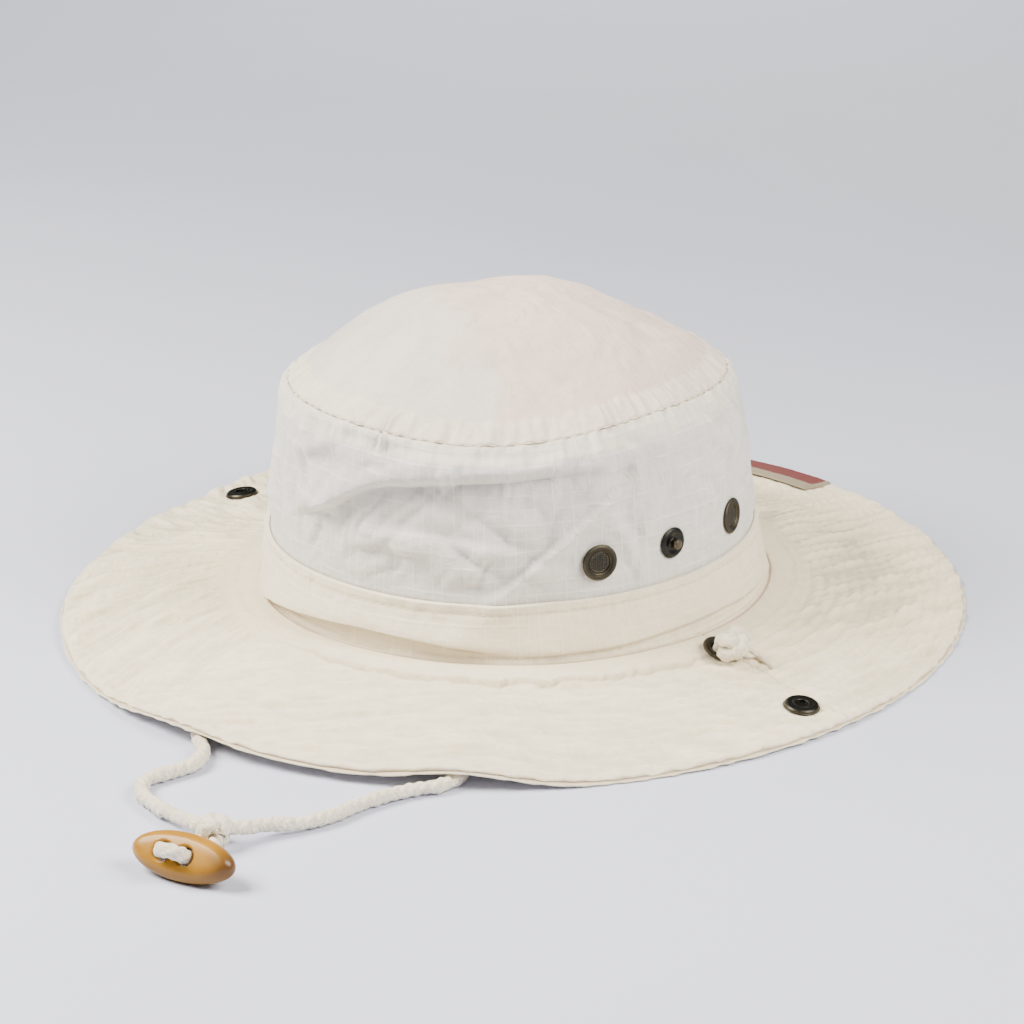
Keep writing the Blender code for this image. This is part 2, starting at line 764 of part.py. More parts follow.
def knot(name, length, width, height, finish):
    """A tied knot as one soft lump: a flattened ball with three broad rolls round it."""
    mesh = bpy.data.meshes.new(name)
    work = bmesh.new()
    bmesh.ops.create_uvsphere(work, u_segments=14, v_segments=8, radius=0.5)
    for vert in work.verts:
        angle = math.atan2(vert.co.y, vert.co.x)
        flat = 1.0 - abs(vert.co.z * 2.0)
        roll = 1.0 - 0.03 * flat * (1.0 - math.cos(3.0 * angle + 4.0 * vert.co.z))
        vert.co = Vector((vert.co.x * length * roll, vert.co.y * width * roll, vert.co.z * height))
    work.to_mesh(mesh)
    work.free()
    mesh.shade_smooth()
    return link(name, mesh, finish)


def cord_points(route):
    """Points along a smooth line through the route's own points, one wherever the line has turned
    by CORD_TURN degrees or has run CORD_STEP diameters since the last."""
    rows = [np.array(point) for point in route]
    count = 24 * len(rows)
    fine = [through_rows(rows, place) for place in np.linspace(0.0, len(rows) - 1.0, count)]
    ways = [Vector(after - before).normalized() for before, after in zip(fine, fine[1:])]
    kept = [0]
    for index in range(1, count - 1):
        run = np.linalg.norm(fine[index] - fine[kept[-1]])
        turned = math.degrees(ways[index].angle(ways[kept[-1]]))
        if run > CORD_STEP * CORD_DIAMETER or (turned > CORD_TURN and run > CORD_DIAMETER / 3.0):
            kept.append(index)
    if np.linalg.norm(fine[-1] - fine[kept[-1]]) < CORD_DIAMETER / 2.0 and len(kept) > 2:
        kept.pop()
    return [fine[index] for index in kept] + [fine[-1]]


def cord_curve(name, route, finish):
    """A round cord as a curve with filled ends."""
    points = cord_points(route)
    curve = bpy.data.curves.new(name, "CURVE")
    curve.dimensions = "3D"
    curve.bevel_depth = CORD_DIAMETER / 2.0
    curve.bevel_resolution = CORD_RINGS
    curve.use_fill_caps = True
    spline = curve.splines.new("POLY")
    spline.points.add(len(points) - 1)
    for target, point in zip(spline.points, points):
        target.co = (*point, 1.0)
    return link(name, curve, finish)


def make_eyelets(brim, brass):
    """The eyelet that the cord comes through on each side of the brim, in its hole."""
    seats = {}
    bore = CORD_DIAMETER / 2.0 + CORD_CLEARANCE
    for side, turn in side_turns(EYELET_TURN):
        point, normal, lift = brim_seat(turn, EYELET_OUT, EYELET_RADIUS)
        profile = grommet_profile(EYELET_RADIUS, bore, EYELET_RIM, lift + BRIM_THICK)
        place_on(turned(f"cord_eyelet_{side}", profile, brass), point, normal, lift)
        cut(brim, cutter(f"cord_hole_{side}", bore + BARREL_WALL + GAP, BRIM_THICK * 4.0, point, normal))
        seats[side] = (np.array(point), np.array(normal), lift + EYELET_RIM)
    return seats


def toggle_matrix():
    """The toggle's place: its long way turned on the floor, its face leaning up from the front, and
    its rim resting on the floor."""
    lean = math.radians(TOGGLE_LEAN)
    low = GAP + max(
        TOGGLE_WIDTH / 2.0 * share * math.cos(lean) - TOGGLE_THICK * level * math.sin(lean)
        for level, share in TOGGLE_RINGS
    )
    turn = Matrix.Rotation(math.radians(TOGGLE_TURN), 4, "Z")
    tilt = Matrix.Rotation(math.radians(90.0) - lean, 4, "X")
    return Matrix.Translation((*TOGGLE_PLACE, low)) @ turn @ tilt


def make_toggle(finish):
    """The oval wooden toggle: a lens with a rounded rim and two holes through its face."""
    rings = TOGGLE_RINGS
    steps = 28
    points = []
    faces = []
    for level, share in rings:
        for step in range(steps):
            angle = 2.0 * math.pi * step / steps
            x = TOGGLE_LENGTH / 2.0 * math.cos(angle) * (1.0 - (1.0 - share) * TOGGLE_WIDTH / TOGGLE_LENGTH)
            y = TOGGLE_WIDTH / 2.0 * math.sin(angle) * share
            points.append((x, y, level * TOGGLE_THICK))
    for row in range(len(rings) - 1):
        for step in range(steps):
            after = (step + 1) % steps
            a = row * steps
            faces.append((a + step, a + after, a + steps + after, a + steps + step))
    faces.append(tuple(range(steps))[::-1])
    faces.append(tuple((len(rings) - 1) * steps + step for step in range(steps)))
    body = solid("toggle", points, faces, finish)
    body.matrix_world = toggle_matrix()
    for index, side in enumerate((-1.0, 1.0)):
        center = toggle_matrix() @ Vector((TOGGLE_HOLE_SHIFT + side * TOGGLE_HOLE_SPACING / 2.0, 0.0, 0.0))
        axis = toggle_matrix().to_3x3() @ Vector((0.0, 0.0, 1.0))
        bore = CORD_DIAMETER / 2.0 + CORD_CLEARANCE
        cut(body, cutter(f"toggle_hole_{index}", bore, TOGGLE_THICK * 3.0, center, axis))
    return body


def make_toggle_cord(finish):
    """The knot behind the toggle, and the turn of cord from it over the toggle's face and back."""
    radius = CORD_DIAMETER / 2.0
    knot_center = np.array((*TOGGLE_KNOT_PLACE, TOGGLE_KNOT_HEIGHT / 2.0 + GAP))
    tied = knot("toggle_knot", TOGGLE_KNOT_WIDTH, TOGGLE_KNOT_WIDTH, TOGGLE_KNOT_HEIGHT, finish)
    tied.location = knot_center
    frame = toggle_matrix()
    half = TOGGLE_HOLE_SPACING / 2.0
    face = TOGGLE_THICK / 2.0
    middle = np.array(frame @ Vector((TOGGLE_HOLE_SHIFT, 0.0, -face)))
    toward = knot_center - middle
    toward[2] = 0.0
    toward /= np.linalg.norm(toward)
    across = np.array((toward[1], -toward[0], 0.0))
    legs = []
    for side in (-1.0, 1.0):
        back = np.array(frame @ Vector((TOGGLE_HOLE_SHIFT + side * half, 0.0, -face)))
        sign = 1.0 if np.dot(back - middle, across) > 0.0 else -1.0
        end = knot_center - toward * (TOGGLE_KNOT_WIDTH / 2.0 + GAP) + across * sign * (radius + GAP)
        end[2] = knot_center[2] - radius * 0.6
        bend = back * 0.55 + end * 0.45
        bend[2] = min(back[2], end[2])
        legs.append((end, bend, back))
    arch = []
    for angle in (180.0, 135.0, 90.0, 45.0, 0.0):
        turn = math.radians(angle)
        place = Vector((TOGGLE_HOLE_SHIFT + half * math.cos(turn), 0.0, face + half * 0.95 * math.sin(turn)))
        arch.append(np.array(frame @ place))
    return cord_curve("toggle_loop", [*legs[0], *arch, *legs[1][::-1]], finish)


def make_chin_cord(seats, finish):
    """The cord on each side, from its knot on the brim down through the eyelet and along its route to
    the toggle's knot, which its end meets with a gap."""
    knot_center = np.array((*TOGGLE_KNOT_PLACE, TOGGLE_KNOT_HEIGHT / 2.0 + GAP))
    for side, route in (("near", NEAR_ROUTE), ("far", FAR_ROUTE)):
        point, normal, rim = seats[side]
        tied = knot(f"brim_knot_{side}", BRIM_KNOT_LENGTH, BRIM_KNOT_WIDTH, BRIM_KNOT_HEIGHT, finish)
        outward = np.array((point[0], point[1], 0.0)) / np.linalg.norm(point[:2])
        outward -= normal * np.dot(outward, normal)
        place_on(tied, point + outward * BRIM_KNOT_SHIFT, normal, rim + BRIM_KNOT_HEIGHT / 2.0 + GAP)
        through = BRIM_THICK + SEAM_RING_RISE
        below = [point - normal * (through + CORD_DIAMETER * share) for share in (0.0, 0.35)]
        last = np.array(route[-1])
        toward = knot_center - last
        toward[2] = 0.0
        reach = np.linalg.norm(toward) - TOGGLE_KNOT_WIDTH / 2.0 - GAP
        end = last + toward / np.linalg.norm(toward) * reach
        end[2] = knot_center[2]
        cord_curve(f"chin_cord_{side}", [point + normal * rim, *below, *route, end], finish)


def main():
    """Clear the scene and make every piece of the hat."""
    for old in list(bpy.data.objects):
        bpy.data.objects.remove(old, do_unlink=True)
    brass = (0.13, 0.11, 0.08)
    wall = make_crown_wall(material("wall_cotton", (0.78, 0.77, 0.74), 0.9))
    make_crown_tip(material("tip_cotton", (0.82, 0.79, 0.74), 0.9))
    make_hat_band(material("band_cotton", (0.85, 0.80, 0.71), 0.9))
    brim = make_brim(material("brim_cotton", (0.84, 0.79, 0.71), 0.9))
    make_brim_label(material("label_weave", (0.55, 0.22, 0.19), 0.8))
    make_vents(wall, material("vent_brass", brass, 0.35, 1.0), material("vent_mesh", (0.2, 0.19, 0.18), 0.5, 0.8))
    make_snaps(material("snap_brass", brass, 0.3, 1.0))
    seats = make_eyelets(brim, material("eyelet_brass", brass, 0.35, 1.0))
    cotton = material("cord_cotton", (0.86, 0.83, 0.76), 0.95)
    make_chin_cord(seats, cotton)
    make_toggle_cord(cotton)
    make_toggle(material("toggle_wood", (0.62, 0.36, 0.14), 0.3))


main()
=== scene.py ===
"""A wide-brimmed cotton sun hat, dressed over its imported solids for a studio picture.

Each sub-assembly is a class that holds its sizes and builds its own pieces: the crown, its band, the
brim and its label, the fittings, the chin cord with its knots, and the toggle. Metres, +Z up, -Y to the
front of the hat and +X to the side with the nearer fittings.
"""

import logging
import math
from dataclasses import dataclass
from enum import Enum
from functools import cached_property

import bmesh
import bpy
import numpy as np
from mathutils import Matrix, Vector


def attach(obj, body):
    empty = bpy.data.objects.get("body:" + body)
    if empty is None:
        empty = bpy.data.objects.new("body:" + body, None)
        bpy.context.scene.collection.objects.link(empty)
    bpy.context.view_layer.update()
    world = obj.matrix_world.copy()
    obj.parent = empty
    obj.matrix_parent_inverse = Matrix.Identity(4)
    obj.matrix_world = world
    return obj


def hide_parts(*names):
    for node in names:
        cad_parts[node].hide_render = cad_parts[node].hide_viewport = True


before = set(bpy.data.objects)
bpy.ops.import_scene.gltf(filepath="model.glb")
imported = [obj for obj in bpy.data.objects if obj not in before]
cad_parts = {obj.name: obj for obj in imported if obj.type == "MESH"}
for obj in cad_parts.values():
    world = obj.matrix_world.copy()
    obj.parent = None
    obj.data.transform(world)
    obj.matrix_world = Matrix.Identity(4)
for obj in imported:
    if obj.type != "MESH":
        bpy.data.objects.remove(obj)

Array = np.ndarray
Triple = tuple[float, float, float]
Piece = bpy.types.Object
Material = bpy.types.Material
NodeTree = bpy.types.NodeTree
Node = bpy.types.Node
Socket = bpy.types.NodeSocket
log = logging.getLogger("sun_hat")

ROOT = "root"
# Clearance between pieces that are sewn, riveted or laid on each other
GAP = 0.0003
# Rows of seeded numbers in each table of the lattice noise
NOISE_ROWS = 97
# Points read between two corners of a path before it is spaced evenly
PATH_STEPS = 40


# Shared sums


def ease(value: Array, low: float | Array, high: float | Array) -> Array:
    """A smooth step from 0 at low to 1 at high: three times the square less twice the cube."""
    share = np.clip((value - low) / (high - low), 0.0, 1.0)
    return share * share * (3.0 - 2.0 * share)


def bell(value: Array, width: float) -> Array:
    """A bell curve, 1 in the middle: e to the power of minus the square of value over width."""
    return np.exp(-((value / width) ** 2))


def from_turn(theta: Array, turn: float) -> Array:
    """Degrees, from -180 to 180, from a turn in degrees to each angle in radians."""
    return (np.degrees(theta) - turn + 180.0) % 360.0 - 180.0


def oval_radius(theta: Array, half_x: Array | float, half_y: Array | float) -> Array:
    """Radius of an ellipse: one over the length of (cosine over half_x, sine over half_y)."""
    return 1.0 / np.hypot(np.cos(theta) / half_x, np.sin(theta) / half_y)


def through_rows(rows: Array, place: Array) -> Array:
    """A smooth curve through a table's rows: a cubic between each two, whose slope at a row is half
    the step between that row's neighbours.

    Args:
        rows: the table, one row for each whole place.
        place: places counted in rows.

    Returns:
        One row of values for each place.
    """
    first = np.clip(np.floor(place), 0, len(rows) - 2).astype(int)
    part = (place - first)[..., None]
    back, near, far, beyond = (rows[np.clip(first + step, 0, len(rows) - 1)] for step in (-1, 0, 1, 2))
    slope_in = (far - back) / 2.0
    slope_out = (beyond - near) / 2.0
    return (
        near * (1.0 + 2.0 * part) * (1.0 - part) ** 2
        + slope_in * part * (1.0 - part) ** 2
        + far * part**2 * (3.0 - 2.0 * part)
        - slope_out * part**2 * (1.0 - part)
    )


def read_line(line: tuple[tuple[float, ...], ...], turn: Array) -> Array:
    """A smooth curve through a short table, read at turns: each turn is made a place in the table, and
    the other columns follow the cubic through its rows.

    Args:
        line: rows that begin with a turn in degrees, rising.
        turn: turns in degrees.

    Returns:
        The other columns at each turn, one after the other.
    """
    table = np.array(line)
    place = np.interp(turn, table[:, 0], np.arange(len(table), dtype=float))
    return np.moveaxis(through_rows(table[:, 1:], place), -1, 0)


def lattice_noise(across: Array, along: Array | float, period: int, seed: int) -> Array:
    """Smooth noise from -1 to 1: a seeded table of numbers on a lattice, joined by eased slopes.

    Args:
        across: first place, in cells; the pattern closes on itself after period cells.
        along: second place, in cells.
        period: cells before the pattern repeats.
        seed: which table of numbers.

    Returns:
        The noise at each place.
    """
    table = np.random.default_rng(seed).uniform(-1.0, 1.0, (period, NOISE_ROWS))
    left = np.floor(across).astype(int)
    low = np.floor(along).astype(int)
    share_x = ease(across - left, 0.0, 1.0)
    share_y = ease(along - low, 0.0, 1.0)
    near, far = (
        table[left % period, row % NOISE_ROWS] * (1.0 - share_x)
        + table[(left + 1) % period, row % NOISE_ROWS] * share_x
        for row in (low, low + 1)
    )
    return near * (1.0 - share_y) + far * share_y


def crumple(across: Array, along: Array, period: int, seed: int) -> Array:
    """Creased cloth from about -0.5 to 0.5: flat facets with sharp valleys where smooth noise, whose
    place is itself pushed about by slower noise, passes zero.

    Args:
        across: first place, in cells.
        along: second place, in cells.
        period: cells before the pattern repeats.
        seed: which tables of numbers.

    Returns:
        The height at each place.
    """
    drift = lattice_noise(across, along * 0.5, period, seed + 1)
    facets = lattice_noise(across + 0.7 * drift, along + 0.9 * drift, period, seed)
    return np.abs(facets) ** 0.8 - 0.42


def unit(vectors: Array) -> Array:
    """The same vectors, last axis x, y, z, each over its own length."""
    return vectors / np.maximum(np.linalg.norm(vectors, axis=-1, keepdims=True), 1e-12)


def run_along(path: Array) -> Array:
    """Distance along a path from its first point to each of its points."""
    return np.concatenate([[0.0], np.cumsum(np.linalg.norm(np.diff(path, axis=0), axis=1))])


def ring_angles(count: int) -> Array:
    """Angles, in radians, of evenly spaced columns round a closed piece."""
    return np.linspace(0.0, 2.0 * math.pi, count, endpoint=False)


def screen_colour(red: float, green: float, blue: float) -> Triple:
    """A colour as a screen shows it, 0 to 255, as the linear values that a shader takes.

    Args:
        red: red from 0 to 255.
        green: green from 0 to 255.
        blue: blue from 0 to 255.

    Returns:
        Linear red, green and blue from 0 to 1.
    """
    shares = np.array((red, green, blue)) / 255.0
    linear = np.where(shares <= 0.04045, shares / 12.92, ((shares + 0.055) / 1.055) ** 2.4)
    return tuple(float(value) for value in linear)


# Meshes


class MeshBuilder:
    """Gathers grids, rims and caps into one mesh with a UV map, in metres of cloth, and named masks."""

    def __init__(self, name: str, masks: tuple[str, ...] = ()) -> None:
        """Starts an empty mesh.

        Args:
            name: the piece's name.
            masks: names of the values that each point carries for the piece's finish.
        """
        self.name = name
        self.total = 0
        self.points: list[Array] = []
        self.maps: list[Array] = []
        self.masks: dict[str, list[Array]] = {mask: [] for mask in masks}
        self.faces: list[Array] = []
        self.wraps: list[Array] = []

    def add_points(self, points: Array, uv: Array | None = None, **masks: Array | float) -> Array:
        """Adds points in any layout.

        Args:
            points: their places, last axis x, y, z.
            uv: their places on the cloth, last axis u, v.
            masks: their values for the named masks.

        Returns:
            The points' numbers in the same layout.
        """
        shape = points.shape[:-1]
        first = self.total
        self.total += int(np.prod(shape))
        self.points.append(points.reshape(-1, 3))
        flat = np.zeros((*shape, 2)) if uv is None else uv
        self.maps.append(flat.reshape(-1, 2))
        for name, values in self.masks.items():
            values.append(np.broadcast_to(masks.get(name, 0.0), shape).reshape(-1))
        return np.arange(first, self.total).reshape(shape)

    def add_faces(self, corners: Array, wrap: Array | None = None) -> None:
        """Adds faces that have the same number of corners.

        Args:
            corners: point numbers, one row for each face.
            wrap: what to add to each corner's place on the cloth, where the map closes on itself.
        """
        self.faces.append(corners)
        self.wraps.append(np.zeros((*corners.shape, 2)) if wrap is None else wrap)

    def add_grid(
        self, index: Array, closed: bool, flip: bool, period: float = 0.0, keep: Array | None = None
    ) -> None:
        """Joins a grid of points into quads.

        Args:
            index: point numbers, rows by columns.
            closed: whether the last column joins the first.
            flip: whether the quads face the other way.
            period: length of cloth round a closed grid.
            keep: which quads are kept, rows less one by columns, where the grid has holes.
        """
        columns = index.shape[1]
        step = np.arange(columns if closed else columns - 1)
        after = (step + 1) % columns
        quads = np.stack([index[:-1, step], index[:-1, after], index[1:, after], index[1:, step]], axis=-1)
        wrap = np.zeros((*quads.shape, 2))
        if closed:
            wrap[:, -1, 1:3, 0] = period
        if keep is not None:
            quads = quads[keep]
            wrap = wrap[keep]
        quads = quads.reshape(-1, 4)
        wrap = wrap.reshape(-1, 4, 2)
        self.add_faces(quads[:, ::-1] if flip else quads, wrap[:, ::-1] if flip else wrap)

    def add_bridge(self, first: Array, second: Array, closed: bool, flip: bool) -> None:
        """Joins two rows of points with one row of quads.

        Args:
            first: point numbers of one row.
            second: point numbers of the other.
            closed: whether the rows are rings.
            flip: whether the quads face the other way.
        """
        self.add_grid(np.stack([first, second]), closed, flip)

    def add_fan(self, ring: Array, pole: int, flip: bool) -> None:
        """Closes a ring with triangles that meet in one point.

        Args:
            ring: point numbers round the ring.
            pole: the middle point's number.
            flip: whether the triangles face the other way.
        """
        corners = np.stack([ring, np.roll(ring, -1), np.full_like(ring, pole)], axis=-1)
        self.add_faces(corners[:, ::-1] if flip else corners)

    def add_shell(self, outer: Array, inner: Array, **maps: Array) -> None:
        """Joins two closed grids with the same columns into one body with rims at both ends.

        Args:
            outer: point numbers of the outside, rows by columns.
            inner: point numbers of the inside, rows by columns.
            maps: period, the length of cloth round the grids, and keep, the quads that are kept.
        """
        self.add_grid(outer, True, False, **maps)
        self.add_grid(inner, True, True, **maps)
        self.add_bridge(inner[0], outer[0], True, False)
        self.add_bridge(outer[-1], inner[-1], True, False)

    def add_bar(self, loop: Array, uv: Array, **masks: Array) -> None:
        """Adds a bar: a closed outline of rows carried along columns, with a flat end at each side.

        Args:
            loop: points, rows round the outline by columns along the bar.
            uv: their places on the cloth.
            masks: values for the named masks.
        """
        index = self.add_points(loop, uv, **masks)
        self.add_grid(np.concatenate([index, index[:1]]), False, True)
        self.add_faces(index[None, ::-1, 0])
        self.add_faces(index[None, :, -1])

    def build(self, finish: Material, sharp: float = 60.0) -> Piece:
        """Makes the object at the origin and links it to the scene.

        Args:
            finish: the material of every face.
            sharp: angle in degrees past which an edge isn't shaded smooth.

        Returns:
            The new object.
        """
        mesh = bpy.data.meshes.new(self.name)
        points = np.concatenate(self.points)
        counts = np.concatenate([np.full(len(part), part.shape[1]) for part in self.faces])
        corners = np.concatenate([part.reshape(-1) for part in self.faces])
        wraps = np.concatenate([part.reshape(-1, 2) for part in self.wraps])
        mesh.vertices.add(len(points))
        mesh.vertices.foreach_set("co", points.astype(np.float32).ravel())
        mesh.loops.add(len(corners))
        mesh.loops.foreach_set("vertex_index", corners.astype(np.int32))
        mesh.polygons.add(len(counts))
        mesh.polygons.foreach_set("loop_start", (np.cumsum(counts) - counts).astype(np.int32))
        layer = mesh.uv_layers.new(name="cloth")
        layer.data.foreach_set("uv", (np.concatenate(self.maps)[corners] + wraps).astype(np.float32).ravel())
        for name, values in self.masks.items():
            mask = mesh.attributes.new(name, "FLOAT", "POINT")
            mask.data.foreach_set("value", np.concatenate(values).astype(np.float32))
        mesh.update(calc_edges=True)
        mesh.validate()
        work = bmesh.new()
        work.from_mesh(mesh)
        bmesh.ops.recalc_face_normals(work, faces=work.faces)
        work.to_mesh(mesh)
        work.free()
        mesh.shade_smooth()
        mesh.set_sharp_from_angle(angle=math.radians(sharp))
        mesh.materials.append(finish)
        made = bpy.data.objects.new(self.name, mesh)
        bpy.context.scene.collection.objects.link(made)
        return made


def mount(piece: Piece, slot: str, *nodes: str) -> Piece:
    """Makes a finished piece ride on the hat, hides the solids that it stands for and logs their names.

    Args:
        piece: the finished object.
        slot: not used.
        nodes: the solids that it replaces.

    Returns:
        The same object.
    """
    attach(piece, ROOT)
    if nodes:
        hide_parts(*nodes)
    triangles = sum(len(face.vertices) - 2 for face in piece.data.polygons)
    log.info("%s: %d triangles, stands for %s", piece.name, triangles, ", ".join(nodes) or "nothing")
    return piece


def tube_points(path: Array, reference: Array, radii: Array) -> Array:
    """A round section carried along a path: at each point the section's axes are the cross products of
    the path's direction with a reference direction.

    Args:
        path: points along the middle, count by 3.
        reference: a direction at each point that the path never runs along.
        radii: radius at each point and angle, count by sides.

    Returns:
        The surface's points, count by sides by 3.
    """
    ahead = unit(np.gradient(path, axis=0))
    side = unit(np.cross(ahead, reference))
    over = np.cross(side, ahead)
    angle = ring_angles(radii.shape[1])
    spokes = side[:, None] * np.cos(angle)[None, :, None] + over[:, None] * np.sin(angle)[None, :, None]
    return path[:, None] + spokes * radii[..., None]


def add_tube(build: MeshBuilder, path: Array, reference: Array, radii: Array, **masks: Array) -> None:
    """Adds a tube with closed ends to a mesh.

    Args:
        build: the mesh being gathered.
        path: points along the middle.
        reference: a direction at each point that the path never runs along.
        radii: radius at each point and angle.
        masks: values at each point of the surface.
    """
    points = tube_points(path, reference, radii)
    sides = radii.shape[1]
    run = run_along(path)
    girth = float(np.median(radii)) * 2.0 * math.pi
    around = np.broadcast_to(np.arange(sides) / sides * girth, points.shape[:-1])
    uv = np.stack([around, np.broadcast_to(run[:, None], points.shape[:-1])], axis=-1)
    index = build.add_points(points, uv, **masks)
    build.add_grid(index, True, True, period=girth)
    build.add_faces(index[:1])
    build.add_faces(index[-1:, ::-1])


def even_path(points: Array, step: float) -> tuple[Array, Array]:
    """A smooth curve through points, read at even steps of its own length.

    Args:
        points: the points that it runs through.
        step: distance between the points that come back.

    Returns:
        The points, and each one's distance along the curve.
    """
    fine = through_rows(points, np.linspace(0.0, len(points) - 1.0, PATH_STEPS * len(points)))
    run = run_along(fine)
    places = np.linspace(0.0, run[-1], max(int(run[-1] / step), 8))
    even = np.stack([np.interp(places, run, fine[:, axis]) for axis in range(3)], axis=-1)
    return even, places


def turned_points(profile: Array, steps: int) -> Array:
    """A profile turned round +Z: each row of the profile is a ring of its radius at its height.

    Args:
        profile: radius and height of each ring.
        steps: columns round.

    Returns:
        Points, rings by steps by 3.
    """
    angle = ring_angles(steps)
    x = profile[:, :1] * np.cos(angle)
    y = profile[:, :1] * np.sin(angle)
    return np.stack([x, y, np.broadcast_to(profile[:, 1:2], x.shape)], axis=-1)


@dataclass(frozen=True)
class Seat:
    """Where a fitting stands: a point, the direction that it faces, and how far it stands off."""

    point: Array
    normal: Array
    lift: float

    @cached_property
    def matrix(self) -> Array:
        """The fitting's place as a 3 by 4 matrix, its own +Z along the normal."""
        turn = Vector(self.normal).to_track_quat("Z", "Y").to_matrix()
        origin = self.point + self.normal * self.lift
        return np.concatenate([np.array(turn), origin[:, None]], axis=1)

    def place(self, points: Array) -> Array:
        """Points given in the fitting's own frame, moved to where it stands."""
        return points @ self.matrix[:, :3].T + self.matrix[:, 3]


def between(knots: list[Array | float], counts: tuple[int, ...]) -> Array:
    """Rows spread evenly between knots.

    Args:
        knots: the rows to run between, each a value for every column or one for them all.
        counts: how many rows start in each gap between two knots.

    Returns:
        The rows, with the last knot at the end.
    """
    parts = [np.linspace(0.0, 1.0, count, endpoint=False) + gap for gap, count in enumerate(counts)]
    place = np.concatenate([*parts, [float(len(counts))]])
    low = np.minimum(place.astype(int), len(counts) - 1)
    part = (place - low)[:, None]
    rows = np.stack(np.broadcast_arrays(*knots))
    return rows[low] * (1.0 - part) + rows[low + 1] * part


def bore_through(
    piece: Piece, seat: Seat, radius: float, depth: float, flare: float = 0.0
) -> None:
    """Cuts a round hole through a finished piece and removes the bar that cut it.

    Args:
        piece: the piece to be cut.
        seat: a point on the hole's axis and the axis's direction.
        radius: the hole's radius.
        depth: how far the bar reaches on either side.
        flare: how much wider the hole is at its ends.
    """
    rings, columns = 21, 40
    flare_start, flare_run, flare_end, flare_power = 0.36, 0.12, 3.0, 1.5
    height = np.linspace(-1.0, 1.0, rings)
    widening = np.clip((np.abs(height) - flare_start) / flare_run, 0.0, flare_end) ** flare_power
    wide = radius + flare * widening
    build = MeshBuilder("cutting_bar")
    axis = Seat(seat.point, seat.normal, 0.0)
    index = build.add_points(axis.place(turned_points(np.stack([wide, height * depth], axis=-1), columns)))
    build.add_grid(index, True, False)
    build.add_faces(index[:1, ::-1])
    build.add_faces(index[-1:])
    bar = build.build(piece.data.materials[0])
    cut = piece.modifiers.new("hole", "BOOLEAN")
    cut.operation = "DIFFERENCE"
    cut.solver = "EXACT"
    cut.object = bar
    result = bpy.data.meshes.new_from_object(piece.evaluated_get(bpy.context.evaluated_depsgraph_get()))
    piece.modifiers.clear()
    old = piece.data
    piece.data = result
    bpy.data.meshes.remove(old)
    bpy.data.objects.remove(bar, do_unlink=True)


# The hat's form


@dataclass(frozen=True)
class Section:
    """A section of the crown: shares of the wall's height, the foot's sizes, the lean and the sag."""

    wall: float
    side: float
    length: float
    lean: float
    sag: float


@dataclass(frozen=True)
class Fold:
    """A soft ridge or dent: a bell curve across and along its own slanted line."""

    turn: float
    rise: float
    length: float
    width: float
    slant: float
    depth: float


@dataclass(frozen=True)
class Wave:
    """A rise of the brim's edge: its middle and spread in degrees, its height a share of the rise."""

    turn: float
    spread: float
    rise: float


@dataclass(frozen=True)
class Crease:
    """A line that runs round part of the crown, with the cloth proud on one side and sunk on the other.

    Each row of the line is a turn in degrees, a share of the wall's height, and the width in metres
    over which the cloth steps from one side to the other."""

    line: tuple[Triple, ...]
    out: float
    into: float
    above: float
    below: float
    fade: float
    crisp: float = 0.6

    def strength(self, turn: Array) -> Array:
        """How strong the crease is at each turn: it dies away over fade degrees at each end."""
        first = self.line[0][0]
        last = self.line[-1][0]
        return ease(turn, first, first + self.fade) * (1.0 - ease(turn, last - self.fade, last))

    def push(self, turn: Array, rise: Array, wall_height: float) -> Array:
        """How far the crease moves the cloth out: a bell curve above the line and one below it, joined
        by a step that is smooth at its top and, where the crease is crisp, sharp at its foot.

        Args:
            turn: turns in degrees, from -180 to 180.
            rise: shares of the wall's height.
            wall_height: the wall's height.

        Returns:
            The distance at each place.
        """
        middle, step = read_line(self.line, turn)
        over = (rise - middle) * wall_height
        within = np.clip(over / step + 0.5, 0.0, 1.0)
        share = ease(within, 0.0, 1.0) * (1.0 - self.crisp) + np.sin(within * math.pi / 2.0) * self.crisp
        high = self.out * bell(np.maximum(over - step / 2.0, 0.0), self.above)
        low = self.into * bell(np.minimum(over + step / 2.0, 0.0), self.below)
        return (share * high - (1.0 - share) * low) * self.strength(turn)


